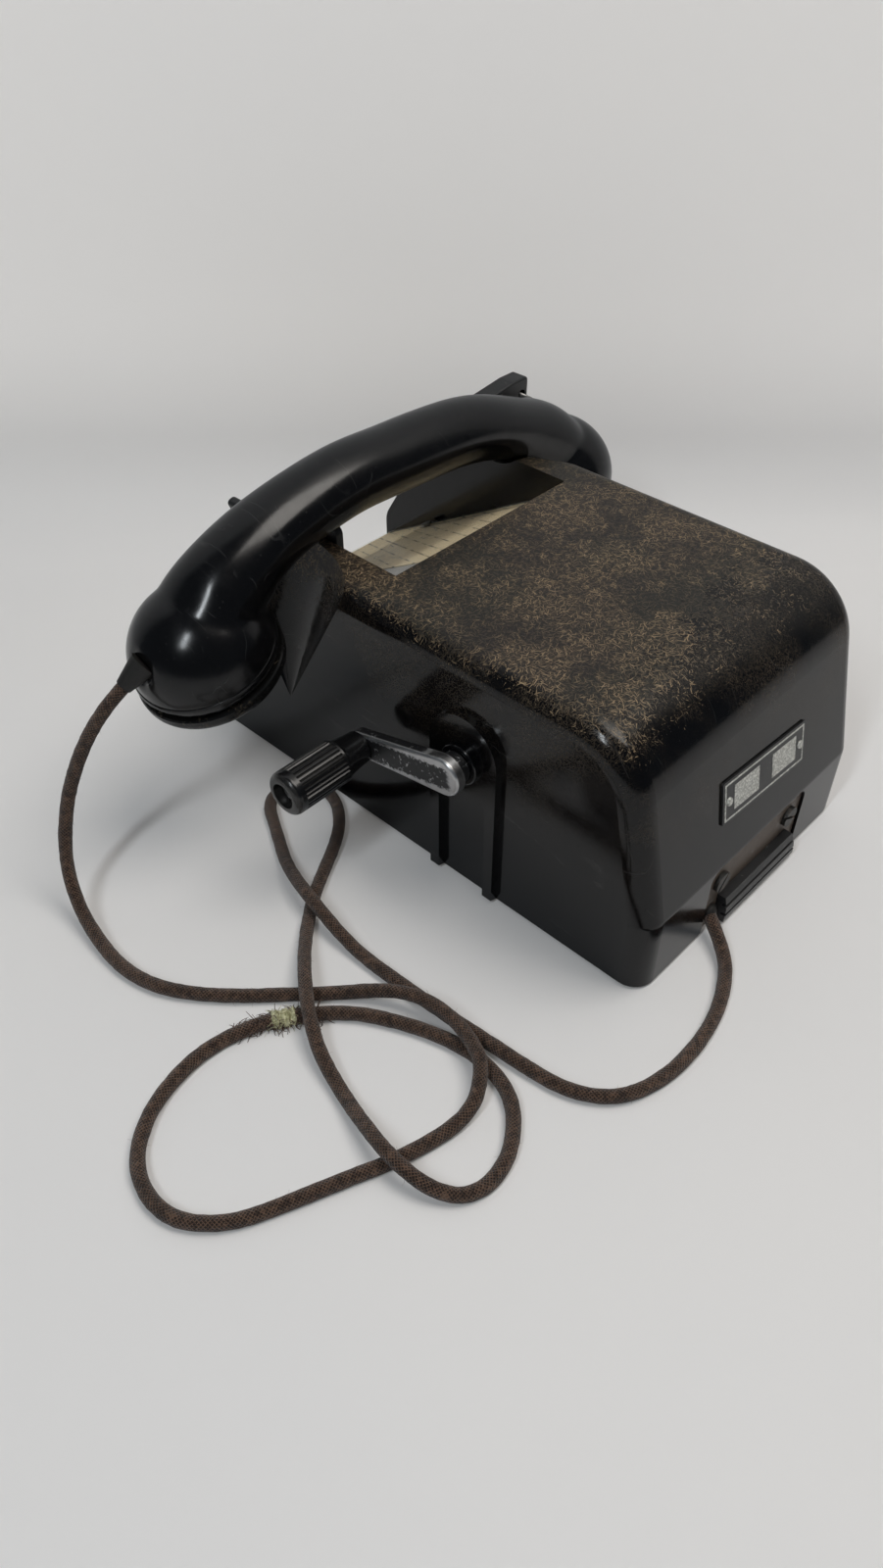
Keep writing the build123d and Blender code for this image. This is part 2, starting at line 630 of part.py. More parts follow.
# ---------------------------------------------------------------- cord route
boot_dir = Vector(0.754, -0.228, -0.614).normalized()
boot_tip = Vector(half_w + 71.0, hs_y - 2.6, hs_z - 35.5)
cord_out = Vector(0.482, 0.826, -0.292).normalized()
cord_end = Vector(exit_x, exit_y, exit_z) + cord_out * 2.32
cord_path = [
    tuple(boot_tip), tuple(boot_tip + boot_dir * 7.3), (149.4, -60.4, 69), (155.6, -63.6, 57.5),
    (161.5, -65.6, 44.8), (167.5, -64.5, 31.1), (172.8, -60.6, 17.3), (177, -50, 6.9),
    (179.8, -34.7, 3.2), (180.9, -19.2, cord_z), (177.5, -3.9, 2.6), (169.2, 9.3, cord_z),
    (158.9, 21, cord_z), (147.8, 31.7, cord_z), (136.3, 43.2, cord_z), (129.2, 51.7, 5.1),
    (123, 62.4, cord_up), (120.4, 71.7, cord_up), (120.2, 81.8, cord_up), (122.6, 91.6, cord_up),
    (126.9, 100.1, cord_up), (137.3, 106.7, 5.1), (148.5, 106.3, cord_z), (166.8, 101.2, cord_z),
    (182.9, 94, cord_z), (199.4, 87.3, cord_z), (215.7, 79.6, cord_z), (226.5, 64.8, cord_z),
    (223.4, 46.2, cord_z), (209.9, 33.9, cord_z), (192.7, 28.5, cord_z), (178.5, 28.3, cord_z),
    (163.4, 32.6, cord_z), (149.6, 41.4, cord_z), (139.2, 51.8, cord_z),
    (133.3, 61.2, cord_z), (125.9, 77.5, cord_z),
    (122.3, 95.1, cord_z), (126.2, 113, cord_z), (140.4, 124.6, cord_z), (153.5, 127.2, cord_z),
    (162.5, 123.5, cord_z), (168, 114.5, 5.1), (169.5, 104.6, cord_up), (168.6, 95.3, cord_up),
    (165.7, 83.9, 5.1), (162.2, 71.8, cord_z), (158.4, 57.7, 5.1), (152.2, 46.1, cord_up),
    (147, 38.8, cord_up), (141.4, 31.6, cord_up), (133.3, 22.2, 5.1), (125.2, 14, cord_z),
    (114.8, 5.3, cord_z), (103.5, -1.8, cord_z), (91.8, -8.3, cord_z), (80.8, -16, cord_z),
    (72.6, -26.4, cord_z), (70, -37.5, cord_z), (74.5, -45.9, cord_z), (83.3, -49.3, cord_z),
    (92.3, -46.1, cord_z), (99, -33.5, cord_z), (107, -19.6, cord_z), (111.9, -9.2, 5.1),
    (115.9, 2.6, cord_up), (117.9, 11.6, cord_up), (119.3, 24, 5.1), (119.7, 35.2, cord_z),
    (119.4, 50.7, cord_z), (118.6, 65.5, cord_z), (117.5, 80.4, cord_z), (116.2, 95.3, cord_z),
    (115, 110.2, cord_z), (112.5, 125.1, cord_z), (103.7, 137.6, cord_z), (89.5, 143.1, cord_z),
    (74.6, 144.3, cord_z), (59.7, 142.7, cord_z), (45.4, 138.2, cord_z),
    tuple(cord_end + cord_out * 15.2), tuple(cord_end),
]

with BuildPart() as cord_gland:
    # a ball-ended grommet, cut square to the cord where the cord leaves
    with Locations((exit_x, exit_y, exit_z)):
        Sphere(3.4)
    with BuildSketch(Plane.XZ.offset(-plate_y)):
        with Locations((exit_x, exit_z)):
            Circle(3.4)
    extrude(amount=-1.0)
    cut = Vector(exit_x, exit_y, exit_z) + cord_out * 2.3
    with BuildSketch(Plane(origin=cut, z_dir=cord_out)):
        Circle(6)
    extrude(amount=4, mode=Mode.SUBTRACT)
    with BuildSketch(Plane.XZ.offset(-plate_y)):
        Rectangle(200, 200)
    extrude(amount=10, mode=Mode.SUBTRACT)
cord_gland.part.label = "cord_gland"
export_step(cord_gland.part, "parts/cord_gland.step")

# ------------------------------------------------------------- handset shell
# centre line of the grip, and its half height and half width along the way
spine_pts = [(0.0, 1.8), (30.0, 1.2), (hs_reach - 43.0, -3.6), (hs_reach - 21.0, -13.0),
             (hs_reach - 7.0, -22.0), (hs_reach, -30.0)]
spine_pts = [(-u, v) for (u, v) in reversed(spine_pts[1:])] + spine_pts
grip_at = [(0, grip_half_h, grip_half_w), (hs_reach - 58, grip_half_h, grip_half_w),
           (hs_reach - 38, grip_half_h, 15.0), (hs_reach - 20, 14.6, 16.4), (hs_reach - 8, 15.6, 18.2),
           (hs_reach + 7, 15.2, 18.6)]


def grip_size(u):
    # smooth half height and half width at a distance from the middle
    u = abs(u)
    for (a, ha, wa), (b, hb, wb) in zip(grip_at[:-1], grip_at[1:]):
        if u <= b:
            k = (u - a) / (b - a)
            return ha + (hb - ha) * k, wa + (wb - wa) * k
    return grip_at[-1][1], grip_at[-1][2]


def cup_plane(side, down):
    # plane square to a cup's axis, a distance below the cup's rim plane
    d = hs_dir(90 - side * cups[side][2])
    o = hs_point(cups[side][0], cups[side][1])
    return Plane(origin=(o[0] - d[0] * down, o[1], o[2] - d[2] * down), x_dir=(0, 1, 0), z_dir=d)


with BuildPart() as handset_shell:
    with BuildLine():
        spine = Spline(*[hs_point(u, v) for (u, v) in spine_pts],
                       tangents=[hs_dir(52), hs_dir(-52)])
    for i in range(15):
        at = spine @ (i / 14)
        h, w = grip_size((at.X - hs_x) / cos(lift))
        with BuildSketch(Plane(origin=at, x_dir=(0, 1, 0), z_dir=spine % (i / 14))):
            Ellipse(w, h)
    loft()
    for side in (-1, 1):
        pl = cup_plane(side, 0)
        out = Vector(0, -side, 0)
        with BuildSketch(Plane(origin=pl.origin, x_dir=out, z_dir=out.cross(pl.z_dir))):
            with BuildLine():
                e1 = Line((0, dome_h), (0, -band_h - 5))
                e2 = Line(e1 @ 1, (spigot_r, -band_h - 5))
                e3 = Line(e2 @ 1, (spigot_r, -band_h))
                e4 = Line(e3 @ 1, (cup_r, -band_h))
                e5 = Line(e4 @ 1, (cup_r, 0))
                EllipticalCenterArc((0, 0), cup_r, dome_h, start_angle=0, arc_size=90)
            make_face()
        revolve(axis=Axis(pl.origin, pl.z_dir))
    # bowls for the capsules
    for side in (-1, 1):
        with BuildSketch(cup_plane(side, band_h + 6)):
            Circle(bowl_r)
        extrude(amount=band_h + 6 + bowl_h, mode=Mode.SUBTRACT)
    # socket of the cord boot
    with BuildSketch(Plane(origin=boot_tip - boot_dir * (boot_len - 0.6), z_dir=boot_dir)):
        Circle(boot_r + 0.05)
    extrude(amount=8, mode=Mode.SUBTRACT)
handset_shell.part.label = "handset_shell"
export_step(handset_shell.part, "parts/handset_shell.step")
print("shell", handset_shell.part.is_valid, len(handset_shell.solids()))

# ------------------------------------------------------------ capsules, caps


def capsule(side):
    # sound capsule held in the bowl by the cap
    with BuildPart() as made:
        with BuildSketch(cup_plane(side, band_h + 3.9)):
            Circle(capsule_r)
        extrude(amount=capsule_h)
        fillet(made.edges().filter_by(GeomType.CIRCLE), 0.8)
    return made


transmitter = capsule(1)
transmitter.part.label = "transmitter"
export_step(transmitter.part, "parts/transmitter.step")
receiver = capsule(-1)
receiver.part.label = "receiver"
export_step(receiver.part, "parts/receiver.step")


def sound_cap(side, rings):
    # screwed cap with a rounded rim, a shallow dish and sound holes
    pl = cup_plane(side, band_h + cap_gap)
    with BuildPart() as made:
        with BuildSketch(Plane(origin=pl.origin, x_dir=(0, 1, 0), z_dir=pl.x_dir.cross(pl.z_dir))):
            with BuildLine():
                a1 = Polyline((spigot_r + 0.3, 0), (cap_r - 0.5, 0), (cap_r, -0.6), (cap_r, -2.4))
                a2 = Spline(a1 @ 1, (cap_r - 1.9, -6.2), (cap_r - 6.2, -cap_h),
                            tangents=[(0, -1), (-1, -0.12)])
                a3 = Spline(a2 @ 1, (12.0, -cap_h + 1.6), (0, -cap_h + 2.4), tangents=[(-1, 0.1), (-1, 0)])
                a4 = Polyline(a3 @ 1, (0, -cap_h + 4.4), (10.0, -cap_h + 3.8), (spigot_r + 0.3, -5.0),
                              (spigot_r + 0.3, 0))
            make_face()
        revolve(axis=Axis(pl.origin, pl.z_dir))
        with BuildSketch(cup_plane(side, band_h + cap_gap + cap_h + 1)):
            for (r, n) in rings:
                if r == 0:
                    Circle(1.3)
                else:
                    with PolarLocations(r, n):
                        Circle(1.3)
        extrude(amount=8, mode=Mode.SUBTRACT)
    return made


mouthpiece_cap = sound_cap(1, [(0, 1), (5.0, 6), (10.0, 12)])
mouthpiece_cap.part.label = "mouthpiece_cap"
export_step(mouthpiece_cap.part, "parts/mouthpiece_cap.step")
ear_cap = sound_cap(-1, [(0, 1), (6.0, 6)])
ear_cap.part.label = "ear_cap"
export_step(ear_cap.part, "parts/ear_cap.step")
print("cap", mouthpiece_cap.part.is_valid, ear_cap.part.is_valid)

# ----------------------------------------------------------------- cord boot
with BuildPart() as cord_boot:
    with BuildSketch(Plane(origin=boot_tip - boot_dir * (boot_len - 0.7), z_dir=boot_dir)):
        Circle(boot_r)
    with BuildSketch(Plane(origin=boot_tip - boot_dir * 6.4, z_dir=boot_dir)):
        Circle(4.3)
    with BuildSketch(Plane(origin=boot_tip, z_dir=boot_dir)):
        Circle(boot_tip_r)
    loft()
cord_boot.part.label = "cord_boot"
export_step(cord_boot.part, "parts/cord_boot.step")

# ---------------------------------------------------------------------- cord
runs = [Vector(*b) - Vector(*a) for a, b in zip(cord_path[:-1], cord_path[1:])]
bends = []
for a, b in zip(runs[:-1], runs[1:]):
    turn = radians(a.get_angle(b))
    bends.append(0.45 * min(a.length, b.length) / tan(turn / 2))
print("cord bends, smallest", [round(r, 1) for r in sorted(bends)[:8]], "runs",
      round(min(r.length for r in runs), 1), round(max(r.length for r in runs), 1))
with BuildPart() as cord:
    with BuildLine() as route:
        FilletPolyline(*cord_path, radius=bends)
    with BuildSketch(Plane(origin=cord_path[0], z_dir=runs[0])):
        Circle(cord_d / 2)
    sweep()
cord_len = sum(edge.length for edge in route.edges())
cord.part.label = "cord"
export_step(cord.part, "parts/cord.step")
print("cord", cord.part.is_valid, "length", round(cord_len, 1), "volume ratio",
      round(cord.part.volume / (pi * (cord_d / 2) ** 2 * cord_len), 4))

# --------------------------------------------------------------- splice tape
tape_len = 9.0
tape_a, tape_b = Vector(163.4, 32.6, cord_z), Vector(149.6, 41.4, cord_z)
tape_mid = (tape_a + tape_b) / 2
tape_dir = (tape_b - tape_a).normalized()
with BuildPart() as splice_tape:
    with BuildSketch(Plane(origin=tape_mid - tape_dir * tape_len / 2, z_dir=tape_dir)):
        Circle(3.6)
        Circle(2.85, mode=Mode.SUBTRACT)
    extrude(amount=tape_len)
    with BuildSketch(Plane.XY.offset(0.05)):
        Rectangle(600, 600)
    extrude(amount=-10, mode=Mode.SUBTRACT)
splice_tape.part.label = "splice_tape"
export_step(splice_tape.part, "parts/splice_tape.step")
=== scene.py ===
"""Looks of the magneto desk telephone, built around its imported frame. Metres, +Z up."""
import random
from math import atan2, cos, pi, radians, sin, tan

import bmesh
import bpy
from mathutils import Matrix, Vector, noise


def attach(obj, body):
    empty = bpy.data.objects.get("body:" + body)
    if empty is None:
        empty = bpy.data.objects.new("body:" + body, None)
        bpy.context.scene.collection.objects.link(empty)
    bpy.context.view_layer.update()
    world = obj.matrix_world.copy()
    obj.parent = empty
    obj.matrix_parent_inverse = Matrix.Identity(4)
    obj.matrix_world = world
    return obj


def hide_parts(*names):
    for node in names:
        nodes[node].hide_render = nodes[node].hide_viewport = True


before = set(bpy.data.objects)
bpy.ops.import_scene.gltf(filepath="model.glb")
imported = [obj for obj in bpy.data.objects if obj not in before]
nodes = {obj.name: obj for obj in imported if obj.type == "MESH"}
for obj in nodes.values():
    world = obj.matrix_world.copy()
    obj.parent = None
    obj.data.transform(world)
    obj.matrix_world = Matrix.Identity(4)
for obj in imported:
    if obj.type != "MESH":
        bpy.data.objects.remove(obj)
bpy.context.view_layer.update()
scene = bpy.context.scene
MM = 0.001


# ------------------------------------------------------------------ camera
eye = Vector((0.2864, 0.2324, 0.320))
gaze = Vector((-0.535, -0.504, -0.678))


def make_camera():
    """A wide view held in the hand, over the rear corner on the crank side."""
    data = bpy.data.cameras.new("camera")
    data.lens = 26.3
    data.sensor_width = 36.0
    data.clip_start = 0.01
    camera = bpy.data.objects.new("camera", data)
    scene.collection.objects.link(camera)
    camera.location = eye
    camera.rotation_mode = "QUATERNION"
    camera.rotation_quaternion = gaze.to_track_quat("-Z", "Y")
    scene.camera = camera


make_camera()

# ------------------------------------------------------------- shared sizes
# the same values as in the part's source
crank_y, crank_z = 37.5, 61.0
arm_len, arm_drop = 40.7, radians(13.2)
crank_axis = Vector((0.0, crank_y, crank_z)) * MM
handle_axis = Vector((0.0, crank_y - arm_len * cos(arm_drop), crank_z - arm_len * sin(arm_drop))) * MM
arm_back, arm_out = 76.0 * MM, 80.0 * MM    # the arm's two faces
ribs_from, knob_r = 91.0 * MM, 8.35 * MM    # the knob's ribbed grip
grip_lift = radians(2.4)                    # the crank-side end of the handset lies higher
hs_mid = Vector((9.0, -52.0, 118.5)) * MM
# each cup: along the grip, height from its centre line, and outward tilt in degrees
cups = {1: (95.2, -40.3, 21.0), -1: (-97.2, -37.5, 9.6)}
cord_d = 4.9 * MM
cord_r = cord_d / MM / 2                    # in millimetres, as the cord's route is


def hs_point(u, v):
    """A point of the handset's middle plane: u along the grip, v upward, in millimetres."""
    along = Vector((cos(grip_lift), 0, sin(grip_lift)))
    up = Vector((-sin(grip_lift), 0, cos(grip_lift)))
    return hs_mid + along * u * MM + up * v * MM


def cup_frame(side):
    """Middle of a cup's rim, and its axis toward the dome."""
    u, v, tilt = cups[side]
    turn = radians(90 - side * tilt) + grip_lift
    return hs_point(u, v), Vector((cos(turn), 0, sin(turn)))


# -------------------------------------------------------------- mesh helpers
def finish_mesh(name, bm, body, smooth):
    """Turns a bmesh into a piece that rides on a body. Edges that turn less than the angle shade smooth."""
    for face in bm.faces:
        face.smooth = True
    for edge in bm.edges:
        if len(edge.link_faces) == 2:
            edge.smooth = edge.calc_face_angle(0) < radians(smooth)
    mesh = bpy.data.meshes.new(name)
    bm.to_mesh(mesh)
    bm.free()
    piece = bpy.data.objects.new(name, mesh)
    scene.collection.objects.link(piece)
    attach(piece, body)
    return piece


def merged_copy(node):
    """A bmesh of a node's mesh with its loose triangles joined."""
    bm = bmesh.new()
    bm.from_mesh(nodes[node].data)
    bmesh.ops.remove_doubles(bm, verts=bm.verts, dist=2e-6)
    return bm


def lathe(bm, profile, origin, axis, steps):
    """Spins a list of (radius, height) points, in millimetres, round an axis."""
    start = axis.orthogonal().normalized()
    made = [bm.verts.new(origin + start * r * MM + axis * h * MM) for r, h in profile]
    edges = [bm.edges.new(pair) for pair in zip(made[:-1], made[1:])]
    bmesh.ops.spin(bm, geom=made + edges, cent=origin, axis=axis, angle=2 * pi, steps=steps, use_merge=True)
    bmesh.ops.remove_doubles(bm, verts=bm.verts, dist=1e-6)
    bmesh.ops.recalc_face_normals(bm, faces=bm.faces)


# ---------------------------------------------------------- material helpers
def put(tree, kind, inputs=None, **settings):
    """Adds a shader node, with its settings, and its inputs as values or linked sockets."""
    node = tree.nodes.new(kind)
    for name, value in settings.items():
        setattr(node, name, value)
    for name, value in (inputs or {}).items():
        if isinstance(value, bpy.types.NodeSocket):
            tree.links.new(value, node.inputs[name])
        else:
            node.inputs[name].default_value = value
    return node


def calc(tree, operation, a, b=0.0):
    """Arithmetic on one or two values."""
    return put(tree, "ShaderNodeMath", {0: a, 1: b}, operation=operation).outputs[0]


def rise(tree, value, low, high):
    """0 below low, 1 above high, smooth between. Works with low above high too."""
    ramp = put(tree, "ShaderNodeMapRange", {0: value, 1: low, 2: high}, interpolation_type="SMOOTHSTEP")
    return ramp.outputs[0]


def spread(tree, value, low, high):
    """Maps 0 to 1 onto low to high, and keeps within them."""
    return put(tree, "ShaderNodeMapRange", {0: value, 3: low, 4: high}).outputs[0]


def blend(tree, factor, first, second):
    """Goes from the first value to the second as the factor rises to 1."""
    return put(tree, "ShaderNodeMix", {0: factor, 2: first, 3: second}).outputs[0]


def tint(tree, factor, first, second):
    """The same for colours."""
    mix = put(tree, "ShaderNodeMix", {0: factor, 6: first, 7: second}, data_type="RGBA")
    return mix.outputs[2]


def grain(tree, vector, scale, detail=3.0, rough=0.55, warp=0.0):
    """Noise between 0 and 1."""
    made = put(tree, "ShaderNodeTexNoise", {"Vector": vector, "Scale": scale, "Detail": detail,
                                            "Roughness": rough, "Distortion": warp})
    return made.outputs[0]


def bumped(tree, height, strength, depth=0.0002):
    """The normal of a surface that a height raises, by up to a depth in metres."""
    made = put(tree, "ShaderNodeBump", {"Strength": strength, "Distance": depth, "Height": height})
    return made.outputs["Normal"]


def place(tree):
    """The spot on the object, in the frame's metres."""
    return put(tree, "ShaderNodeTexCoord").outputs["Object"]


def axes(tree, vector):
    parts = put(tree, "ShaderNodeSeparateXYZ", {0: vector})
    return parts.outputs[0], parts.outputs[1], parts.outputs[2]


def moved(tree, vector, location=(0, 0, 0), rotation=(0, 0, 0), scale=(1, 1, 1)):
    return put(tree, "ShaderNodeMapping", {"Vector": vector, "Location": location, "Rotation": rotation,
                                           "Scale": scale}).outputs[0]


def colour(r, g, b):
    return (r, g, b, 1.0)


def finish(name, base=colour(0.5, 0.5, 0.5), roughness=0.5, metallic=0.0, specular=0.5):
    """A new material with one Principled shader. Returns the material, its tree and the shader."""
    material = bpy.data.materials.new(name)
    material.use_nodes = True
    tree = material.node_tree
    shader = tree.nodes["Principled BSDF"]
    shader.inputs["Base Color"].default_value = base
    shader.inputs["Roughness"].default_value = roughness
    shader.inputs["Metallic"].default_value = metallic
    shader.inputs["Specular IOR Level"].default_value = specular
    return material, tree, shader


def wire(tree, shader, **sockets):
    """Links sockets to the shader's inputs: base, rough, metal, normal, alpha."""
    names = {"base": "Base Color", "rough": "Roughness", "metal": "Metallic", "normal": "Normal",
             "alpha": "Alpha"}
    for short, socket in sockets.items():
        tree.links.new(socket, shader.inputs[names[short]])


def dress(material, *names):
    """Gives a material to nodes or pieces by name."""
    for name in names:
        thing = nodes.get(name) or bpy.data.objects[name]
        thing.data.materials.clear()
        thing.data.materials.append(material)


# ------------------------------------------------------------- shader groups
def new_group(name, inputs, outputs):
    """A shader group with named sockets. Returns its tree, what it is given and where its results go."""
    tree = bpy.data.node_groups.new(name, "ShaderNodeTree")
    for label, kind, value in inputs:
        made = tree.interface.new_socket(name=label, in_out="INPUT", socket_type="NodeSocket" + kind)
        if value is not None:
            made.default_value = value
    for label, kind in outputs:
        tree.interface.new_socket(name=label, in_out="OUTPUT", socket_type="NodeSocket" + kind)
    return tree, tree.nodes.new("NodeGroupInput").outputs, tree.nodes.new("NodeGroupOutput")


def use(tree, group, **inputs):
    """Places a group in a material; its inputs are named as words with spaces for underscores."""
    node = tree.nodes.new("ShaderNodeGroup")
    node.node_tree = group
    for name, value in inputs.items():
        socket = node.inputs[name.replace("_", " ")]
        if isinstance(value, bpy.types.NodeSocket):
            tree.links.new(value, socket)
        else:
            socket.default_value = value
    return node.outputs


def make_fibres():
    """Short crossing strands, each with its own turn and bend, as filler shows in a worn moulding."""
    tree, given, result = new_group("crossing fibres", [("Vector", "Vector", None), ("Scale", "Float", 300.0),
                                                        ("Width", "Float", 0.06)], [("Strands", "Float")])
    total = None
    for layer in range(5):
        turned = moved(tree, given[0], (layer * 0.31, layer * 0.17, 0), (0, 0, layer * 1.3))
        size = calc(tree, "MULTIPLY", given[1], 1.0 + 0.22 * layer)
        cells = put(tree, "ShaderNodeTexVoronoi", {"Vector": turned, "Scale": size}, voronoi_dimensions="2D")
        away = put(tree, "ShaderNodeVectorMath", {0: turned, 1: cells.outputs["Position"]},
                   operation="SUBTRACT")
        inward = put(tree, "ShaderNodeVectorMath", {0: away.outputs[0], "Scale": size}, operation="SCALE")
        chance = put(tree, "ShaderNodeSeparateColor", {0: cells.outputs["Color"]}).outputs
        turn = calc(tree, "MULTIPLY", chance[0], 2 * pi)
        spun = put(tree, "ShaderNodeVectorRotate", {"Vector": inward.outputs[0], "Angle": turn},
                   rotation_type="Z_AXIS")
        along, across = axes(tree, spun.outputs[0])[:2]
        bend = calc(tree, "MULTIPLY", calc(tree, "MULTIPLY", along, along),
                    calc(tree, "MULTIPLY", calc(tree, "SUBTRACT", chance[1], 0.5), 0.7))
        off = calc(tree, "ABSOLUTE", calc(tree, "ADD", across, bend))
        thin = rise(tree, off, given[2], calc(tree, "MULTIPLY", given[2], 0.3))
        limit = calc(tree, "ADD", 0.34, calc(tree, "MULTIPLY", chance[2], 0.3))
        reach = rise(tree, calc(tree, "ABSOLUTE", along), limit, 0.2)
        strand = calc(tree, "MULTIPLY", calc(tree, "MULTIPLY", thin, reach),
                      spread(tree, chance[1], 0.25, 1.0))
        total = strand if total is None else calc(tree, "MAXIMUM", total, strand)
    tree.links.new(total, result.inputs[0])
    return tree


def make_smudges():
    """Handled gloss: slow clouds and fine dust, as a roughness and a dust mask."""
    tree, given, result = new_group("handled gloss", [("Vector", "Vector", None), ("Low", "Float", 0.1),
                                                      ("High", "Float", 0.3), ("Dust", "Float", 0.3)],
                                    [("Roughness", "Float"), ("Dust", "Float")])
    cloud = grain(tree, given[0], 38.0, 4.0, 0.6, 0.8)
    fine = grain(tree, given[0], 420.0, 3.0, 0.7)
    both = calc(tree, "ADD", calc(tree, "MULTIPLY", cloud, 0.75), calc(tree, "MULTIPLY", fine, 0.25))
    rough = put(tree, "ShaderNodeMapRange", {0: both, 1: 0.32, 2: 0.68, 3: given[1], 4: given[2]}).outputs[0]
    cells = put(tree, "ShaderNodeTexVoronoi", {"Vector": given[0], "Scale": 620.0, "Randomness": 1.0})
    speck = rise(tree, cells.outputs["Distance"], 0.13, 0.06)
    sparse = rise(tree, grain(tree, given[0], 150.0, 2.0), 0.5, 0.66)
    dust = calc(tree, "MULTIPLY", calc(tree, "MULTIPLY", speck, sparse), given[3])
    tree.links.new(rough, result.inputs[0])
    tree.links.new(dust, result.inputs[1])
    return tree


def make_scratches():
    """Long fine scratches in a few directions."""
    tree, given, result = new_group("fine scratches", [("Vector", "Vector", None), ("Scale", "Float", 90.0),
                                                       ("Amount", "Float", 0.5)], [("Lines", "Float")])
    total = None
    for index, turn in enumerate([(0.3, 0.2, 0.6), (0.1, 0.8, 1.9), (1.2, 0.1, 2.6)]):
        along = moved(tree, given[0], (index, index * 2.3, index * 0.7), turn, (1.0, 0.03, 0.4))
        line = grain(tree, along, given[1], 1.0, 0.4, 0.2)
        thin = calc(tree, "ABSOLUTE", calc(tree, "SUBTRACT", line, 0.5))
        keep = rise(tree, grain(tree, moved(tree, given[0], (index * 5.0, 0, 0)), 60.0, 2.0), 0.5, 0.62)
        mark = calc(tree, "MULTIPLY", rise(tree, thin, 0.006, 0.0015), keep)
        total = mark if total is None else calc(tree, "MAXIMUM", total, mark)
    tree.links.new(calc(tree, "MULTIPLY", total, given[2]), result.inputs[0])
    return tree


def make_blotches():
    """Ragged patches round a threshold: Worn is 1 where the skin is gone."""
    tree, given, result = new_group("ragged wear", [("Vector", "Vector", None), ("Level", "Float", 0.5),
                                                    ("Size", "Float", 60.0), ("Rag", "Float", 0.3)],
                                    [("Worn", "Float")])
    broad = grain(tree, given[0], given[2], 3.0, 0.6, 0.4)
    ragged = grain(tree, given[0], calc(tree, "MULTIPLY", given[2], 9.0), 4.0, 0.75, 0.5)
    wobble = calc(tree, "ADD", calc(tree, "SUBTRACT", broad, 0.5),
                  calc(tree, "MULTIPLY", calc(tree, "SUBTRACT", ragged, 0.5), given[3]))
    level = calc(tree, "ADD", given[1], wobble)
    tree.links.new(rise(tree, level, 0.46, 0.56), result.inputs[0])
    return tree


fibres = make_fibres()
smudges = make_smudges()
scratches = make_scratches()
blotches = make_blotches()


# ----------------------------------------------------------------- materials
def case_skin(tree, spot, facing):
    """Flat coordinates in the plane that each wall faces, so that the strands lie in the skin."""
    x, y, z = axes(tree, spot)
    sideways = rise(tree, calc(tree, "ABSOLUTE", facing[0]), 0.62, 0.66)
    upright = calc(tree, "MAXIMUM", sideways, rise(tree, calc(tree, "ABSOLUTE", facing[1]), 0.62, 0.66))
    wide = blend(tree, sideways, x, y)
    deep = blend(tree, upright, y, z)
    return put(tree, "ShaderNodeCombineXYZ", {0: wide, 1: deep}).outputs[0]


def case_wear(tree, spot, strands):
    """1 where the skin is gone: whole on the level top, breaking up over the edges along the strands."""
    x, y, z = axes(tree, spot)
    over_rear = calc(tree, "SUBTRACT", calc(tree, "SUBTRACT", y, z), calc(tree, "MULTIPLY", x, 0.15))
    over_side = calc(tree, "SUBTRACT", calc(tree, "ABSOLUTE", x), z)
    fall = calc(tree, "MINIMUM", rise(tree, over_rear, 0.034, -0.058), rise(tree, over_side, -0.02, -0.05))
    level = calc(tree, "ADD", spread(tree, fall, -0.08, 0.86), calc(tree, "MULTIPLY", strands, 0.22))
    return use(tree, blotches, Vector=spot, Level=level, Size=100.0, Rag=1.0)["Worn"]


def case_filler(tree, spot, strands, fine, mottle):
    """Brown strands over a grey ground, slightly green and purple."""
    purple, green = colour(0.021, 0.017, 0.0165), colour(0.017, 0.0185, 0.0155)
    pit, thread, strand = colour(0.006, 0.0055, 0.005), colour(0.145, 0.103, 0.062), colour(0.42, 0.3, 0.175)
    clouds = grain(tree, spot, 42.0, 4.0, 0.6, 0.5)
    tufts = grain(tree, spot, 170.0, 3.0, 0.6, 0.8)
    density = rise(tree, calc(tree, "ADD", calc(tree, "MULTIPLY", clouds, 0.55),
                              calc(tree, "MULTIPLY", tufts, 0.45)), 0.4, 0.6)
    shown = spread(tree, density, 0.2, 1.0)
    cool = rise(tree, grain(tree, spot, 26.0, 3.0, 0.5), 0.42, 0.6)
    ground = tint(tree, cool, purple, green)
    ground = tint(tree, rise(tree, mottle, 0.38, 0.66), pit, ground)
    ground = tint(tree, calc(tree, "MULTIPLY", fine, calc(tree, "MULTIPLY", shown, 0.8)), ground, thread)
    return tint(tree, calc(tree, "MULTIPLY", strands, shown), ground, strand)


def case_specks(tree, spot, strands, fine):
    """Specks of filler in the black round the worn part, under the top and along the side edges."""
    x, _, z = axes(tree, spot)
    near_top = rise(tree, z, 0.052, 0.098)
    near_side = calc(tree, "MULTIPLY", rise(tree, calc(tree, "ABSOLUTE", x), 0.069, 0.066),
                     rise(tree, z, 0.03, 0.095))
    patchy = rise(tree, grain(tree, spot, 34.0, 3.0), 0.34, 0.6)
    return calc(tree, "MULTIPLY", calc(tree, "MAXIMUM", fine, calc(tree, "MULTIPLY", strands, 0.7)),
                calc(tree, "MULTIPLY", calc(tree, "MAXIMUM", near_top, near_side), patchy))


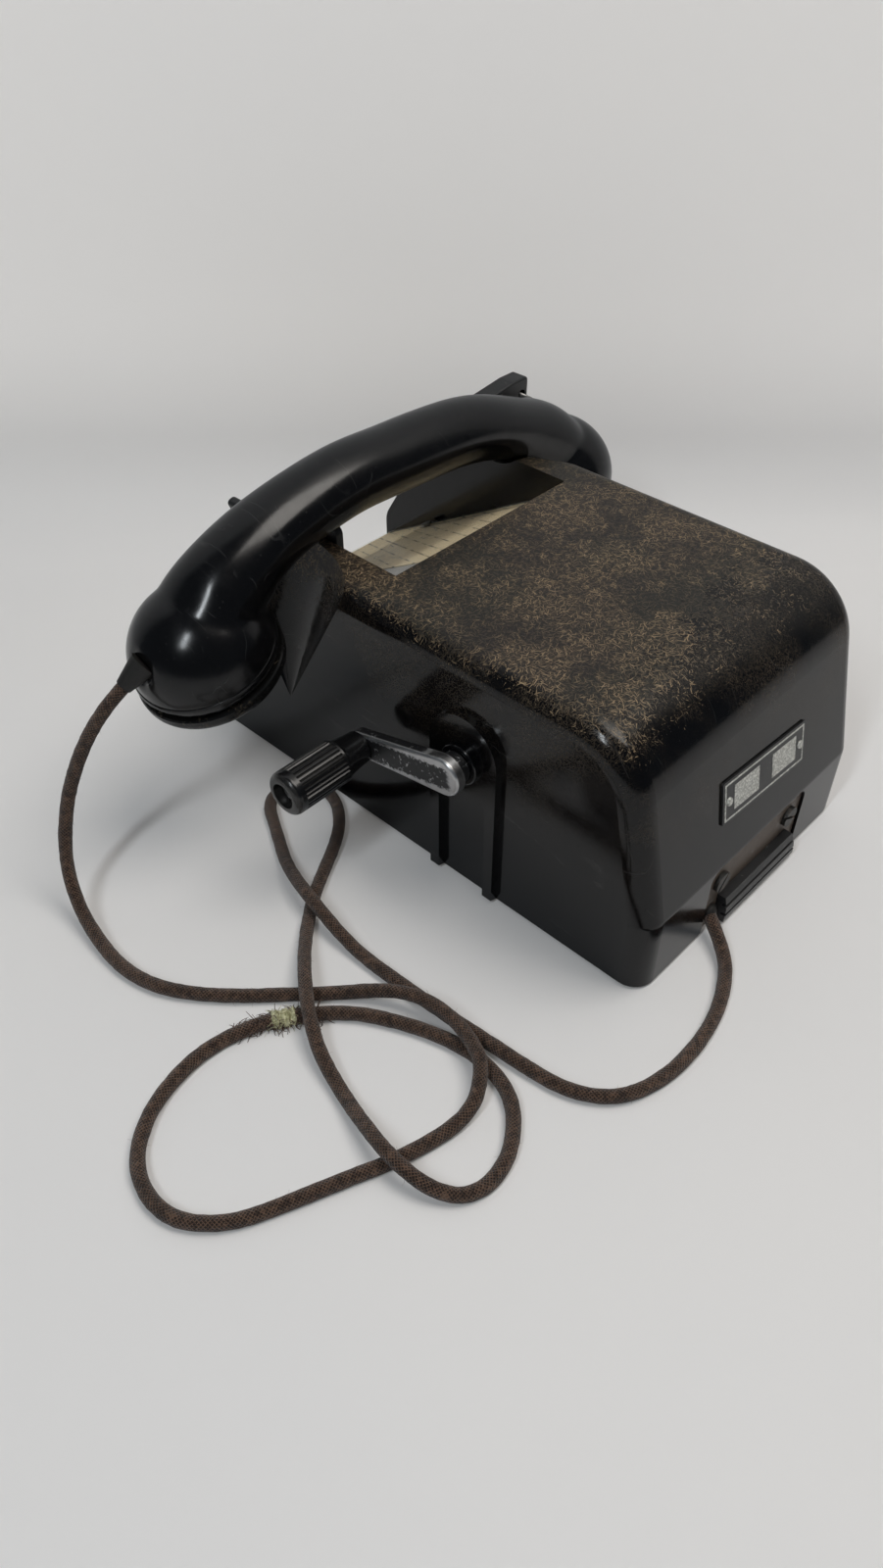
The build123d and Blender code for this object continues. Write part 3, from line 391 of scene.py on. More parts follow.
def case_finish():
    """Black moulded skin, worn through to the fibrous brown filler on top, speckled round the edges."""
    skin_black, speck_tone = colour(0.0028, 0.0028, 0.0034), colour(0.095, 0.072, 0.049)
    dust_tone, scratch_tone = colour(0.16, 0.155, 0.15), colour(0.06, 0.058, 0.055)
    material, tree, shader = finish("worn case moulding", specular=0.33)
    spot = place(tree)
    facing = axes(tree, put(tree, "ShaderNodeTexCoord").outputs["Normal"])
    skin = case_skin(tree, spot, facing)
    strands = use(tree, fibres, Vector=skin, Scale=285.0, Width=0.058)["Strands"]
    fine = use(tree, fibres, Vector=moved(tree, skin, (0.3, 0.2, 0)), Scale=520.0, Width=0.085)["Strands"]
    mottle = grain(tree, spot, 1100.0, 4.0, 0.75)
    # the trough's walls, which face the middle, keep their skin
    outward = calc(tree, "MULTIPLY", facing[0], calc(tree, "SIGN", axes(tree, spot)[0]))
    open_wall = rise(tree, outward, -0.5, -0.25)
    worn = calc(tree, "MULTIPLY", case_wear(tree, spot, strands), open_wall)
    speck = calc(tree, "MULTIPLY", case_specks(tree, spot, strands, fine), open_wall)
    gloss = use(tree, smudges, Vector=spot, Low=0.07, High=0.16, Dust=0.25)
    lines = use(tree, scratches, Vector=spot, Scale=60.0, Amount=0.25)["Lines"]
    black = tint(tree, calc(tree, "MULTIPLY", speck, 0.8), skin_black, speck_tone)
    black = tint(tree, gloss["Dust"], black, dust_tone)
    black = tint(tree, lines, black, scratch_tone)
    brown = case_filler(tree, spot, strands, fine, mottle)
    rough_black = calc(tree, "ADD", gloss["Roughness"], calc(tree, "MULTIPLY", speck, 0.2))
    rough = blend(tree, worn, rough_black, spread(tree, mottle, 0.26, 0.44))
    threads = calc(tree, "ADD", calc(tree, "MULTIPLY", strands, 0.4), calc(tree, "MULTIPLY", mottle, 0.5))
    height = calc(tree, "ADD", calc(tree, "MULTIPLY", worn, -0.3),
                  calc(tree, "MULTIPLY", threads, spread(tree, worn, 0.15, 1.0)))
    wire(tree, shader, base=tint(tree, worn, black, brown), rough=rough,
         normal=bumped(tree, height, 0.5, 0.00014))
    return material


def polished_black():
    """Pressed black moulding, polished, with smudges and a little dust."""
    material, tree, shader = finish("polished black moulding", specular=0.42)
    spot = place(tree)
    gloss = use(tree, smudges, Vector=spot, Low=0.14, High=0.27, Dust=0.3)
    lines = use(tree, scratches, Vector=spot, Scale=70.0, Amount=0.3)["Lines"]
    base = tint(tree, gloss["Dust"], colour(0.003, 0.003, 0.0036), colour(0.2, 0.19, 0.18))
    base = tint(tree, lines, base, colour(0.05, 0.05, 0.05))
    ripple = grain(tree, spot, 55.0, 1.0)
    wire(tree, shader, base=base, rough=gloss["Roughness"], normal=bumped(tree, ripple, 0.05, 0.0004))
    return material


def worn_black():
    """Black moulding rubbed to a brownish grey."""
    material, tree, shader = finish("rubbed moulding", specular=0.3)
    spot = place(tree)
    worn = use(tree, blotches, Vector=spot, Level=0.42, Size=70.0, Rag=0.8)["Worn"]
    mottle = grain(tree, spot, 700.0, 4.0, 0.75)
    brown = tint(tree, mottle, colour(0.02, 0.016, 0.012), colour(0.1, 0.078, 0.052))
    gloss = use(tree, smudges, Vector=spot, Low=0.16, High=0.32, Dust=0.35)
    base = tint(tree, calc(tree, "MULTIPLY", worn, 0.8), colour(0.005, 0.005, 0.005), brown)
    base = tint(tree, gloss["Dust"], base, colour(0.25, 0.23, 0.2))
    rough = calc(tree, "ADD", gloss["Roughness"], calc(tree, "MULTIPLY", worn, 0.15))
    wire(tree, shader, base=base, rough=rough, normal=bumped(tree, mottle, 0.12, 0.0001))
    return material


def knob_finish():
    """Black moulding with pale dust in its grooves."""
    material, tree, shader = finish("grooved knob")
    spot = place(tree)
    x, y, z = axes(tree, moved(tree, spot, tuple(-handle_axis)))
    radius = calc(tree, "SQRT", calc(tree, "ADD", calc(tree, "MULTIPLY", y, y), calc(tree, "MULTIPLY", z, z)))
    groove = rise(tree, radius, knob_r - 0.13 * MM, knob_r - 0.37 * MM)
    ribbed = rise(tree, x, ribs_from + 0.5 * MM, ribs_from + 2.5 * MM)
    dirt = calc(tree, "MULTIPLY", calc(tree, "MULTIPLY", groove, ribbed), grain(tree, spot, 300.0, 3.0))
    gloss = use(tree, smudges, Vector=spot, Low=0.16, High=0.3, Dust=0.4)
    base = tint(tree, calc(tree, "MULTIPLY", dirt, 0.45), colour(0.005, 0.005, 0.0055),
                colour(0.085, 0.08, 0.072))
    base = tint(tree, gloss["Dust"], base, colour(0.2, 0.19, 0.17))
    fine = grain(tree, spot, 900.0)
    wire(tree, shader, base=base, rough=gloss["Roughness"], normal=bumped(tree, fine, 0.08, 0.0001))
    return material


def arm_paint(tree, spot):
    """1 where the arm still has paint: the middle of its outer face, its top edge, and its hub."""
    turn = atan2(handle_axis.z - crank_axis.z, handle_axis.y - crank_axis.y)
    x, y, z = axes(tree, moved(tree, spot, tuple(-crank_axis)))
    along = calc(tree, "ADD", calc(tree, "MULTIPLY", y, cos(turn)), calc(tree, "MULTIPLY", z, sin(turn)))
    across = calc(tree, "SUBTRACT", calc(tree, "MULTIPLY", z, cos(turn)),
                  calc(tree, "MULTIPLY", y, sin(turn)))
    ragged = calc(tree, "MULTIPLY", calc(tree, "SUBTRACT", grain(tree, spot, 620.0, 4.0, 0.7), 0.5), 0.0045)
    middle = rise(tree, calc(tree, "ADD", calc(tree, "ABSOLUTE", across), ragged), 0.0047, 0.0039)
    past_hub = rise(tree, calc(tree, "ADD", along, ragged), -0.0045, -0.0025)
    outer_face = rise(tree, x, arm_out - 0.0012, arm_out - 0.0006)
    patch = calc(tree, "MULTIPLY", calc(tree, "MULTIPLY", middle, past_hub), outer_face)
    edge = calc(tree, "MULTIPLY", rise(tree, x, arm_out - 0.0004, arm_out - 0.0011),
                rise(tree, calc(tree, "ADD", along, ragged), 0.004, 0.009))
    hub = rise(tree, x, arm_back + 0.0002, arm_back - 0.0002)
    paint = calc(tree, "MAXIMUM", calc(tree, "MAXIMUM", patch, edge), hub)
    flakes = rise(tree, grain(tree, spot, 480.0, 4.0, 0.75, 0.4), 0.60, 0.63)
    return calc(tree, "MULTIPLY", paint, calc(tree, "SUBTRACT", 1.0, calc(tree, "MULTIPLY", flakes, 0.9)))


def arm_finish():
    """Bright plated steel with what is left of its black paint on the flat and the edges."""
    material, tree, shader = finish("crank arm metal and paint")
    spot = place(tree)
    paint = arm_paint(tree, spot)
    marks = use(tree, scratches, Vector=spot, Scale=220.0, Amount=0.6)["Lines"]
    metal = tint(tree, grain(tree, spot, 240.0, 4.0, 0.7), colour(0.42, 0.42, 0.42), colour(0.72, 0.72, 0.73))
    metal = tint(tree, marks, metal, colour(0.25, 0.24, 0.23))
    base = tint(tree, paint, metal, colour(0.01, 0.01, 0.011))
    rough = blend(tree, paint, spread(tree, grain(tree, spot, 330.0), 0.22, 0.42), 0.4)
    bare = calc(tree, "SUBTRACT", 1.0, paint)
    wire(tree, shader, base=base, rough=rough, metal=bare, normal=bumped(tree, paint, 0.5, 0.00008))
    return material


def dull_steel(name, tone, rust, low=0.3, high=0.5, rust_from=0.4):
    """Sheet or screw steel with clouds of rust. A low rust_from spreads them."""
    material, tree, shader = finish(name)
    spot = place(tree)
    clouds = grain(tree, spot, 160.0, 4.0, 0.7, 0.5)
    rusty = calc(tree, "MULTIPLY", rise(tree, clouds, rust_from, rust_from + 0.22), rust)
    fine = grain(tree, spot, 1400.0, 3.0, 0.7)
    steel = tint(tree, fine, colour(tone * 0.75, tone * 0.73, tone * 0.7), colour(tone, tone, tone * 0.98))
    stain = tint(tree, fine, colour(0.06, 0.043, 0.033), colour(0.17, 0.13, 0.1))
    wire(tree, shader, base=tint(tree, rusty, steel, stain), rough=spread(tree, clouds, low, high),
         metal=calc(tree, "SUBTRACT", 1.0, rusty), normal=bumped(tree, fine, 0.15, 0.00005))
    return material


def black_paint():
    """Black stoving paint over metal, chipped in a few places."""
    material, tree, shader = finish("stoved black paint")
    spot = place(tree)
    chips = rise(tree, grain(tree, spot, 210.0, 4.0, 0.75, 0.6), 0.67, 0.69)
    gloss = use(tree, smudges, Vector=spot, Low=0.28, High=0.45, Dust=0.5)
    base = tint(tree, gloss["Dust"], colour(0.014, 0.014, 0.015), colour(0.2, 0.19, 0.18))
    base = tint(tree, chips, base, colour(0.24, 0.23, 0.22))
    wire(tree, shader, base=base, rough=gloss["Roughness"], metal=calc(tree, "MULTIPLY", chips, 0.8),
         normal=bumped(tree, chips, -0.4, 0.00006))
    return material


def soft_rubber():
    """Black rubber, matt and a little dusty."""
    material, tree, shader = finish("cord boot rubber", specular=0.4)
    spot = place(tree)
    fine = grain(tree, spot, 900.0, 4.0, 0.7)
    gloss = use(tree, smudges, Vector=spot, Low=0.4, High=0.58, Dust=0.5)
    base = tint(tree, fine, colour(0.012, 0.0115, 0.011), colour(0.026, 0.024, 0.022))
    base = tint(tree, gloss["Dust"], base, colour(0.16, 0.14, 0.12))
    wire(tree, shader, base=base, rough=gloss["Roughness"], normal=bumped(tree, fine, 0.15, 0.0001))
    return material


def card_finish():
    """Aged cream card with faint ruled lines and a few stains."""
    material, tree, shader = finish("aged card", specular=0.25)
    spot = place(tree)
    ruled = put(tree, "ShaderNodeTexWave", {"Vector": moved(tree, spot, rotation=(0, 0, radians(32))),
                                            "Scale": 52.0, "Distortion": 0.0}, wave_type="BANDS")
    line = calc(tree, "MULTIPLY", rise(tree, ruled.outputs["Fac"], 0.93, 0.99),
                rise(tree, grain(tree, spot, 120.0, 3.0), 0.4, 0.6))
    stain = rise(tree, grain(tree, spot, 45.0, 4.0, 0.65, 0.6), 0.48, 0.72)
    fine = grain(tree, spot, 1500.0, 3.0, 0.6)
    base = tint(tree, fine, colour(0.74, 0.6, 0.37), colour(0.88, 0.74, 0.49))
    base = tint(tree, calc(tree, "MULTIPLY", stain, 0.5), base, colour(0.5, 0.37, 0.2))
    base = tint(tree, calc(tree, "MULTIPLY", line, 0.85), base, colour(0.16, 0.13, 0.09))
    wire(tree, shader, base=base, rough=spread(tree, fine, 0.6, 0.8),
         normal=bumped(tree, fine, 0.1, 0.00005))
    return material


def clear_sheet():
    """Clear sheet, slightly yellow: thin enough to see through, with scratches that catch the light."""
    material, tree, shader = finish("clear sheet", colour(0.9, 0.87, 0.76), roughness=0.08)
    spot = place(tree)
    marks = use(tree, scratches, Vector=spot, Scale=90.0, Amount=0.8)["Lines"]
    gloss = use(tree, smudges, Vector=spot, Low=0.04, High=0.16, Dust=0.6)
    seen = calc(tree, "ADD", 0.09, calc(tree, "MAXIMUM", calc(tree, "MULTIPLY", marks, 0.35), gloss["Dust"]))
    rough = calc(tree, "ADD", gloss["Roughness"], calc(tree, "MULTIPLY", marks, 0.3))
    wire(tree, shader, rough=rough, alpha=seen)
    return material


def enamel():
    """Black enamel of the name plate."""
    material, tree, shader = finish("black enamel")
    spot = place(tree)
    gloss = use(tree, smudges, Vector=spot, Low=0.25, High=0.42, Dust=0.6)
    base = tint(tree, gloss["Dust"], colour(0.012, 0.012, 0.013), colour(0.3, 0.3, 0.28))
    wire(tree, shader, base=base, rough=gloss["Roughness"])
    return material


def bare_plate():
    """Pale metal of the plate's border and fields, dulled."""
    material, tree, shader = finish("bare plate metal")
    spot = place(tree)
    fine = grain(tree, spot, 1300.0, 4.0, 0.75)
    broad = grain(tree, spot, 260.0, 3.0)
    base = tint(tree, rise(tree, fine, 0.42, 0.62), colour(0.4, 0.4, 0.37), colour(0.8, 0.8, 0.75))
    wire(tree, shader, base=base, rough=spread(tree, broad, 0.35, 0.55), metal=rise(tree, fine, 0.9, 0.1),
         normal=bumped(tree, fine, 0.2, 0.00004))
    return material


def capsule_metal():
    """Dull spun metal of the two capsules."""
    material, tree, shader = finish("capsule metal", metallic=1.0)
    spot = place(tree)
    fine = grain(tree, spot, 700.0, 3.0)
    wire(tree, shader, base=tint(tree, fine, colour(0.5, 0.5, 0.5), colour(0.65, 0.65, 0.64)),
         rough=spread(tree, fine, 0.3, 0.45))
    return material


def braid_finish(name, dark, pale):
    """Cotton braid: strands cross at a slant, each with a round back, dust and lighter threads. Each strand's
    back is painted lighter and each groove between strands darker, as painted light and shade.
    """
    material, tree, shader = finish(name, specular=0.2)
    shader.inputs["Sheen Weight"].default_value = 0.25
    shader.inputs["Sheen Roughness"].default_value = 0.5
    along, around = axes(tree, put(tree, "ShaderNodeUVMap", uv_map="braid").outputs[0])[:2]
    strands_round, strands_per_metre = 12.0, 800.0
    forward = calc(tree, "MULTIPLY", along, strands_per_metre)
    slant = calc(tree, "MULTIPLY", around, strands_round)
    ridge_left = calc(tree, "PINGPONG", calc(tree, "ADD", forward, slant), 0.5)
    ridge_right = calc(tree, "PINGPONG", calc(tree, "SUBTRACT", forward, slant), 0.5)
    weave = calc(tree, "MAXIMUM", ridge_left, ridge_right)
    spot = place(tree)
    fuzz = grain(tree, spot, 2600.0, 3.0, 0.8)
    dirt = grain(tree, spot, 70.0, 4.0, 0.65, 0.4)
    # painted light and shade: the weave makes the braid paler on the strands' backs and darker in the grooves
    # between them; the fuzz adds pale fibres of the cotton's own
    tone = calc(tree, "ADD", calc(tree, "MULTIPLY", weave, 1.2), calc(tree, "MULTIPLY", fuzz, 0.7))
    base = tint(tree, rise(tree, tone, 0.67, 0.98), dark, pale)
    base = tint(tree, calc(tree, "MULTIPLY", rise(tree, dirt, 0.5, 0.7), 0.4), base, dark)
    rubbed = grain(tree, spot, 460.0, 4.0, 0.75, 0.3)
    base = tint(tree, calc(tree, "MULTIPLY", rise(tree, rubbed, 0.5, 0.38), 0.7), base, dark)
    base = tint(tree, calc(tree, "MULTIPLY", rise(tree, rubbed, 0.54, 0.64), 0.6), base, pale)
    height = calc(tree, "ADD", weave, calc(tree, "ADD", calc(tree, "MULTIPLY", fuzz, 0.5), rubbed))
    wire(tree, shader, base=base, rough=spread(tree, fuzz, 0.75, 0.95),
         normal=bumped(tree, height, 1.0, 0.0006))
    return material


def thread_finish(name, dark, pale):
    """Loose cotton thread, in streaks of two tones."""
    material, tree, shader = finish(name, roughness=0.85, specular=0.2)
    shader.inputs["Sheen Weight"].default_value = 0.2
    spot = place(tree)
    streak = grain(tree, spot, 900.0, 4.0, 0.7, 0.5)
    broad = grain(tree, spot, 200.0, 3.0, 0.6)
    base = tint(tree, rise(tree, streak, 0.36, 0.64), dark, pale)
    base = tint(tree, calc(tree, "MULTIPLY", rise(tree, broad, 0.52, 0.66), 0.6), base, dark)
    wire(tree, shader, base=base, rough=spread(tree, broad, 0.75, 0.95),
         normal=bumped(tree, streak, 0.6, 0.0002))
    return material


def floor_finish():
    """Pale matt table and wall, which look paler to the camera than the lamps make them."""
    material, tree, shader = finish("pale table", colour(0.8, 0.8, 0.81), roughness=0.55, specular=0.25)
    spot = place(tree)
    broad = grain(tree, spot, 3.0, 3.0, 0.5)
    wire(tree, shader, base=tint(tree, broad, colour(0.76, 0.76, 0.775), colour(0.83, 0.815, 0.8)))
    table_glow, wall_glow = 0.06, 0.2
    up_wall = rise(tree, axes(tree, spot)[2], -0.01, 0.12)
    glow = calc(tree, "ADD", calc(tree, "MULTIPLY", up_wall, wall_glow), table_glow)
    seen = put(tree, "ShaderNodeLightPath").outputs["Is Camera Ray"]
    tree.links.new(calc(tree, "MULTIPLY", seen, glow), shader.inputs["Emission Strength"])
    shader.inputs["Emission Color"].default_value = colour(1.0, 0.95, 0.89)
    return material


# --------------------------------------------------------------------- cord
boot_dir = Vector((0.754, -0.228, -0.614)).normalized()
boot_tip = Vector((137.6, -54.6, 83.0))
cord_out = Vector((0.482, 0.826, -0.292)).normalized()
cord_end = Vector((23.9, 115.9, 8.4)) + cord_out * 2.32
low, up = cord_r, 7.8         # height where the cord lies on the table, and where it lies over itself
mend = [(163.4, 32.6, low), (149.6, 41.4, low)]
route = [
    boot_tip, boot_tip + boot_dir * 7.3, (149.4, -60.4, 69), (155.6, -63.6, 57.5),
    (161.5, -65.6, 44.8), (167.5, -64.5, 31.1), (172.8, -60.6, 17.3), (177, -50, 6.9),
    (179.8, -34.7, 3.2), (180.9, -19.2, low), (177.5, -3.9, 2.6), (169.2, 9.3, low),
    (158.9, 21, low), (147.8, 31.7, low), (136.3, 43.2, low), (129.2, 51.7, 5.1),
    (123, 62.4, up), (120.4, 71.7, up), (120.2, 81.8, up), (122.6, 91.6, up),
    (126.9, 100.1, up), (137.3, 106.7, 5.1), (148.5, 106.3, low), (166.8, 101.2, low),
    (182.9, 94, low), (199.4, 87.3, low), (215.7, 79.6, low), (226.5, 64.8, low),
    (223.4, 46.2, low), (209.9, 33.9, low), (192.7, 28.5, low), (178.5, 28.3, low),
    *mend, (139.2, 51.8, low), (133.3, 61.2, low), (125.9, 77.5, low),
    (122.3, 95.1, low), (126.2, 113, low), (140.4, 124.6, low), (153.5, 127.2, low),
    (162.5, 123.5, low), (168, 114.5, 5.1), (169.5, 104.6, up), (168.6, 95.3, up),
    (165.7, 83.9, 5.1), (162.2, 71.8, low), (158.4, 57.7, 5.1), (152.2, 46.1, up),
    (147, 38.8, up), (141.4, 31.6, up), (133.3, 22.2, 5.1), (125.2, 14, low),
    (114.8, 5.3, low), (103.5, -1.8, low), (91.8, -8.3, low), (80.8, -16, low),
    (72.6, -26.4, low), (70, -37.5, low), (74.5, -45.9, low), (83.3, -49.3, low),
    (92.3, -46.1, low), (99, -33.5, low), (107, -19.6, low), (111.9, -9.2, 5.1),
    (115.9, 2.6, up), (117.9, 11.6, up), (119.3, 24, 5.1), (119.7, 35.2, low),
    (119.4, 50.7, low), (118.6, 65.5, low), (117.5, 80.4, low), (116.2, 95.3, low),
    (115, 110.2, low), (112.5, 125.1, low), (103.7, 137.6, low), (89.5, 143.1, low),
    (74.6, 144.3, low), (59.7, 142.7, low), (45.4, 138.2, low),
    cord_end + cord_out * 15.2, cord_end,
]


def braided_tube(name, points, radius, body, resolution=9, sides=6):
    """A braided tube that follows control points, with a map of metres along and turns around.

    Returns the piece, the points of its centre line and its length.
    """
    # how far the braid swells in places, how far it stands out everywhere, and swells per millimetre
    uneven, fluff, lump = 0.16, 0.05, 0.45
    curve = bpy.data.curves.new(name + "_line", "CURVE")
    curve.dimensions = "3D"
    spline = curve.splines.new("NURBS")
    spline.points.add(len(points) - 1)
    chance = random.Random(5)
    for point, spot in zip(spline.points, points):
        point.co = (*(Vector(spot) * MM), 1.0)
        point.radius = chance.uniform(0.94, 1.0)
    spline.order_u = 3
    spline.use_endpoint_u = True
    spline.resolution_u = resolution
    line = bpy.data.objects.new(name + "_line", curve)
    scene.collection.objects.link(line)
    bpy.context.view_layer.update()
    centre = [v.co.copy() for v in bpy.data.meshes.new_from_object(line).vertices]
    curve.bevel_depth = radius
    curve.bevel_resolution = sides
    curve.use_fill_caps = False
    bpy.context.view_layer.update()
    mesh = bpy.data.meshes.new_from_object(line)
    bpy.data.objects.remove(line)
    travel = [0.0]
    for before, after in zip(centre[:-1], centre[1:]):
        travel.append(travel[-1] + (after - before).length)
    old = mesh.uv_layers[0]
    new = mesh.uv_layers.new(name="braid")
    last = len(centre) - 1
    # the tube's own map runs from 0 to 1 along the points
    for loop in range(len(mesh.loops)):
        u, v = old.data[loop].uv
        new.data[loop].uv = (travel[min(last, round(u * last))], v)
    mesh.uv_layers.remove(mesh.uv_layers[0])
    for vert in mesh.vertices:
        vert.co += vert.normal * (uneven * noise.noise(vert.co / MM * lump) + fluff) * MM
        vert.co.z = max(vert.co.z, 0.0)
    for face in mesh.polygons:
        face.use_smooth = True
    piece = bpy.data.objects.new(name, mesh)
    scene.collection.objects.link(piece)
    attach(piece, body)
    return piece, centre, travel[-1]


def make_cord():
    """The cord from the boot over the table to the rear wall."""
    piece, centre, length = braided_tube("braided_cord", route, cord_d / 2, "base")
    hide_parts("cord")
    dress(braid_finish("braided cotton", colour(0.014, 0.0072, 0.005), colour(0.2, 0.118, 0.078)),
          "braided_cord")
    return piece, centre, length


cord, cord_line, cord_length = make_cord()


def fibre_tufts(name, roots, radius, body, seed, long, droop=0.5):
    """Loose thread ends, in millimetres: from each root, a spot and a direction, a short bent hair grows."""
    chance = random.Random(seed)
    curve = bpy.data.curves.new(name + "_lines", "CURVE")
    curve.dimensions = "3D"
    curve.bevel_depth = radius * MM
    curve.bevel_resolution = 0
    for spot, way in roots:
        reach = chance.uniform(*long)
        side = Vector((chance.gauss(0, 1), chance.gauss(0, 1), chance.gauss(0, 0.6)))
        heading = (way + side * 0.45).normalized()
        spline = curve.splines.new("NURBS")
        spline.points.add(3)
        here = spot.copy()
        for index, point in enumerate(spline.points):
            point.co = (here.x * MM, here.y * MM, max(here.z, radius) * MM, 1.0)
            point.radius = 1.0 - 0.2 * index
            drift = Vector((chance.gauss(0, 0.4), chance.gauss(0, 0.4), -droop * 0.4))
            heading = (heading + drift).normalized()
            here = here + heading * reach / 3
        spline.order_u = 3
        spline.use_endpoint_u = True
        spline.resolution_u = 2
    line = bpy.data.objects.new(name + "_lines", curve)
    scene.collection.objects.link(line)
    bpy.context.view_layer.update()
    piece = bpy.data.objects.new(name, bpy.data.meshes.new_from_object(line))
    bpy.data.objects.remove(line)
    scene.collection.objects.link(piece)
    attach(piece, body)
    return piece


def off_line(spot, ahead, away, chance):
    """Moves a spot off a line, at a random turn round it. Returns the spot, outward and ahead."""
    out = ahead.orthogonal().normalized()
    out.rotate(Matrix.Rotation(chance.uniform(0, 2 * pi), 3, ahead))
    return spot + out * away, out, ahead


def beside_line(centre, index, away, chance):
    """The same at a point of the cord's centre line, in millimetres."""
    spot, ahead = centre[index] / MM, (centre[index + 1] - centre[index]).normalized()
    return off_line(spot, ahead, away, chance)


def make_binding(middle, along):
    """The mend's cream binding: seven uneven turns of thread."""
    turns, pitch, first = 7, 1.13, -3.4
    bm = bmesh.new()
    profile = [(2.5, -3.6)]
    for turn in range(turns):
        at = first + turn * pitch
        swell = 3.0 + 0.35 * sin(turn * 2.2)
        profile += [(swell - 0.25, at), (swell + 0.1, at + 0.35), (swell - 0.05, at + 0.8)]
    profile.append((2.5, 4.3))
    lathe(bm, profile, middle * MM, along, 40)
    for vert in bm.verts:
        away = vert.co / MM - middle
        shift = 0.25 * sin(away.x * 2.1 + away.z * 3.0) * cos(away.y * 1.7)
        vert.co += (away - along * away.dot(along)).normalized() * shift * MM
        vert.co.z = max(vert.co.z, 0.06 * MM)
    binding = finish_mesh("splice_binding", bm, "base", 60)
    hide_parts("splice_tape")
    return binding


def make_splice(centre):
    """The mend in the cord: a cream binding with frayed ends, and frayed cotton along the cord beside it."""
    first, last = (Vector(point) for point in mend)
    middle, along = (first + last) / 2, (last - first).normalized()
    binding = make_binding(middle, along)
    frays, pale_frays, frayed_length, over_table = 420, 44, 16.0 * MM, 0.5
    home = min(range(len(centre)), key=lambda index: (centre[index] / MM - middle).length)
    reach = 1
    while (centre[home + reach] - centre[home]).length < frayed_length:
        reach += 1
    beside = range(home - reach, home + reach)
    chance = random.Random(7)
    roots, pale_roots = [], []
    for count in range(frays):
        # of two draws the one nearer to the binding
        index = min((chance.choice(beside) for draw in range(2)), key=lambda at: abs(at - home))
        if count < pale_frays:
            spot, out, ahead = off_line(middle + along * chance.uniform(-4.5, 5.0), along, 2.7, chance)
        else:
            spot, out, ahead = beside_line(centre, index, 2.2, chance)
        if spot.z > over_table:
            kind = pale_roots if count < pale_frays else roots
            kind.append((spot, out * 0.45 + ahead * chance.choice([-1.0, 1.0])))
    pale = fibre_tufts("splice_frays", pale_roots, 0.13, "base", 3, (2.0, 5.0))
    dark = fibre_tufts("splice_dark_frays", roots, 0.19, "base", 4, (2.0, 5.0), 0.8)
    dress(thread_finish("cream binding", colour(0.26, 0.25, 0.12), colour(0.7, 0.68, 0.45)), "splice_binding",
          "splice_frays")
    dress(thread_finish("frayed cotton", colour(0.03, 0.016, 0.011), colour(0.15, 0.088, 0.06)),
          "splice_dark_frays")
    return [binding, pale, dark]


def make_lint(centre):
    """Fine lint that stands off the braid."""
    hairs, end_free, over_table = 520, 4, 0.6
    chance = random.Random(11)
    roots = []
    for hair in range(hairs):
        index = chance.randrange(end_free, len(centre) - end_free)
        root, out, ahead = beside_line(centre, index, cord_r - 0.05, chance)
        if root.z > over_table:
            roots.append((root, out * 0.7 + ahead * chance.choice([-1.0, 1.0])))
    lint = fibre_tufts("cord_lint", roots, 0.035, "base", 12, (0.7, 2.0), 0.2)
    dress(thread_finish("lint", colour(0.1, 0.07, 0.055), colour(0.3, 0.23, 0.19)), "cord_lint")
    return lint


extras = make_splice(cord_line) + [make_lint(cord_line)]


# ------------------------------------------------------------------- handset
def make_handset():
    """The moulded shell, remeshed so that the turned domes flow into the grip without a seam."""
    bm = merged_copy("handset_shell")
    raw = bpy.data.meshes.new("handset_raw")
    bm.to_mesh(raw)
    bm.free()
    rough = bpy.data.objects.new("handset_raw", raw)
    scene.collection.objects.link(rough)
    remesh = rough.modifiers.new("even", "REMESH")
    remesh.mode = "VOXEL"
    remesh.voxel_size = 1.1 * MM
    remesh.use_smooth_shade = True
    soften = rough.modifiers.new("soften", "CORRECTIVE_SMOOTH")
    soften.factor = 0.5
    soften.iterations = 8
    soften.smooth_type = "SIMPLE"
    soften.use_only_smooth = True
    bpy.context.view_layer.update()
    made = bpy.data.meshes.new_from_object(rough.evaluated_get(bpy.context.evaluated_depsgraph_get()))
    bpy.data.objects.remove(rough)
    made.materials.clear()
    piece = bpy.data.objects.new("handset_body", made)
    scene.collection.objects.link(piece)
    for face in made.polygons:
        face.use_smooth = True
    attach(piece, "handset")
    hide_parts("handset_shell")


def make_cup_lips():
    """A fine bead round the foot of each dome."""
    inside, shoulder, outside = 25.9, 26.75, 27.05
    bead = [(inside, 0.9), (shoulder, 0.7), (outside, 0.1), (outside, -0.5), (shoulder, -1.0), (inside, -1.2),
            (inside, 0.9)]
    for side, name in ((1, "mouth_cup_lip"), (-1, "ear_cup_lip")):
        origin, axis = cup_frame(side)
        bm = bmesh.new()
        lathe(bm, bead, origin, axis, 128)
        lip = finish_mesh(name, bm, "handset", 50)


# ----------------------------------------------------------------- nameplate
def plate_frame():
    """Matrix of the name plate's outer face, turned as it is riveted, from the part's own values."""
    lean, turn = radians(12.2), radians(-3.6)
    plate_x, plate_z, plate_t = -2.5, 56.0, 0.8
    plinth_y, plinth_z = 117.5, 32.0
    plate_y = plinth_y - (plate_z - plinth_z) * tan(lean)
    out = Vector((0, cos(lean), sin(lean)))
    flat = Vector((1, 0, 0))
    up = out.cross(flat)
    turned = flat * cos(turn) + up * sin(turn)
    spot = (Vector((plate_x, plate_y, plate_z)) + out * plate_t) * MM
    matrix = Matrix((turned, out.cross(turned), out)).transposed().to_4x4()
    matrix.translation = spot
    return matrix


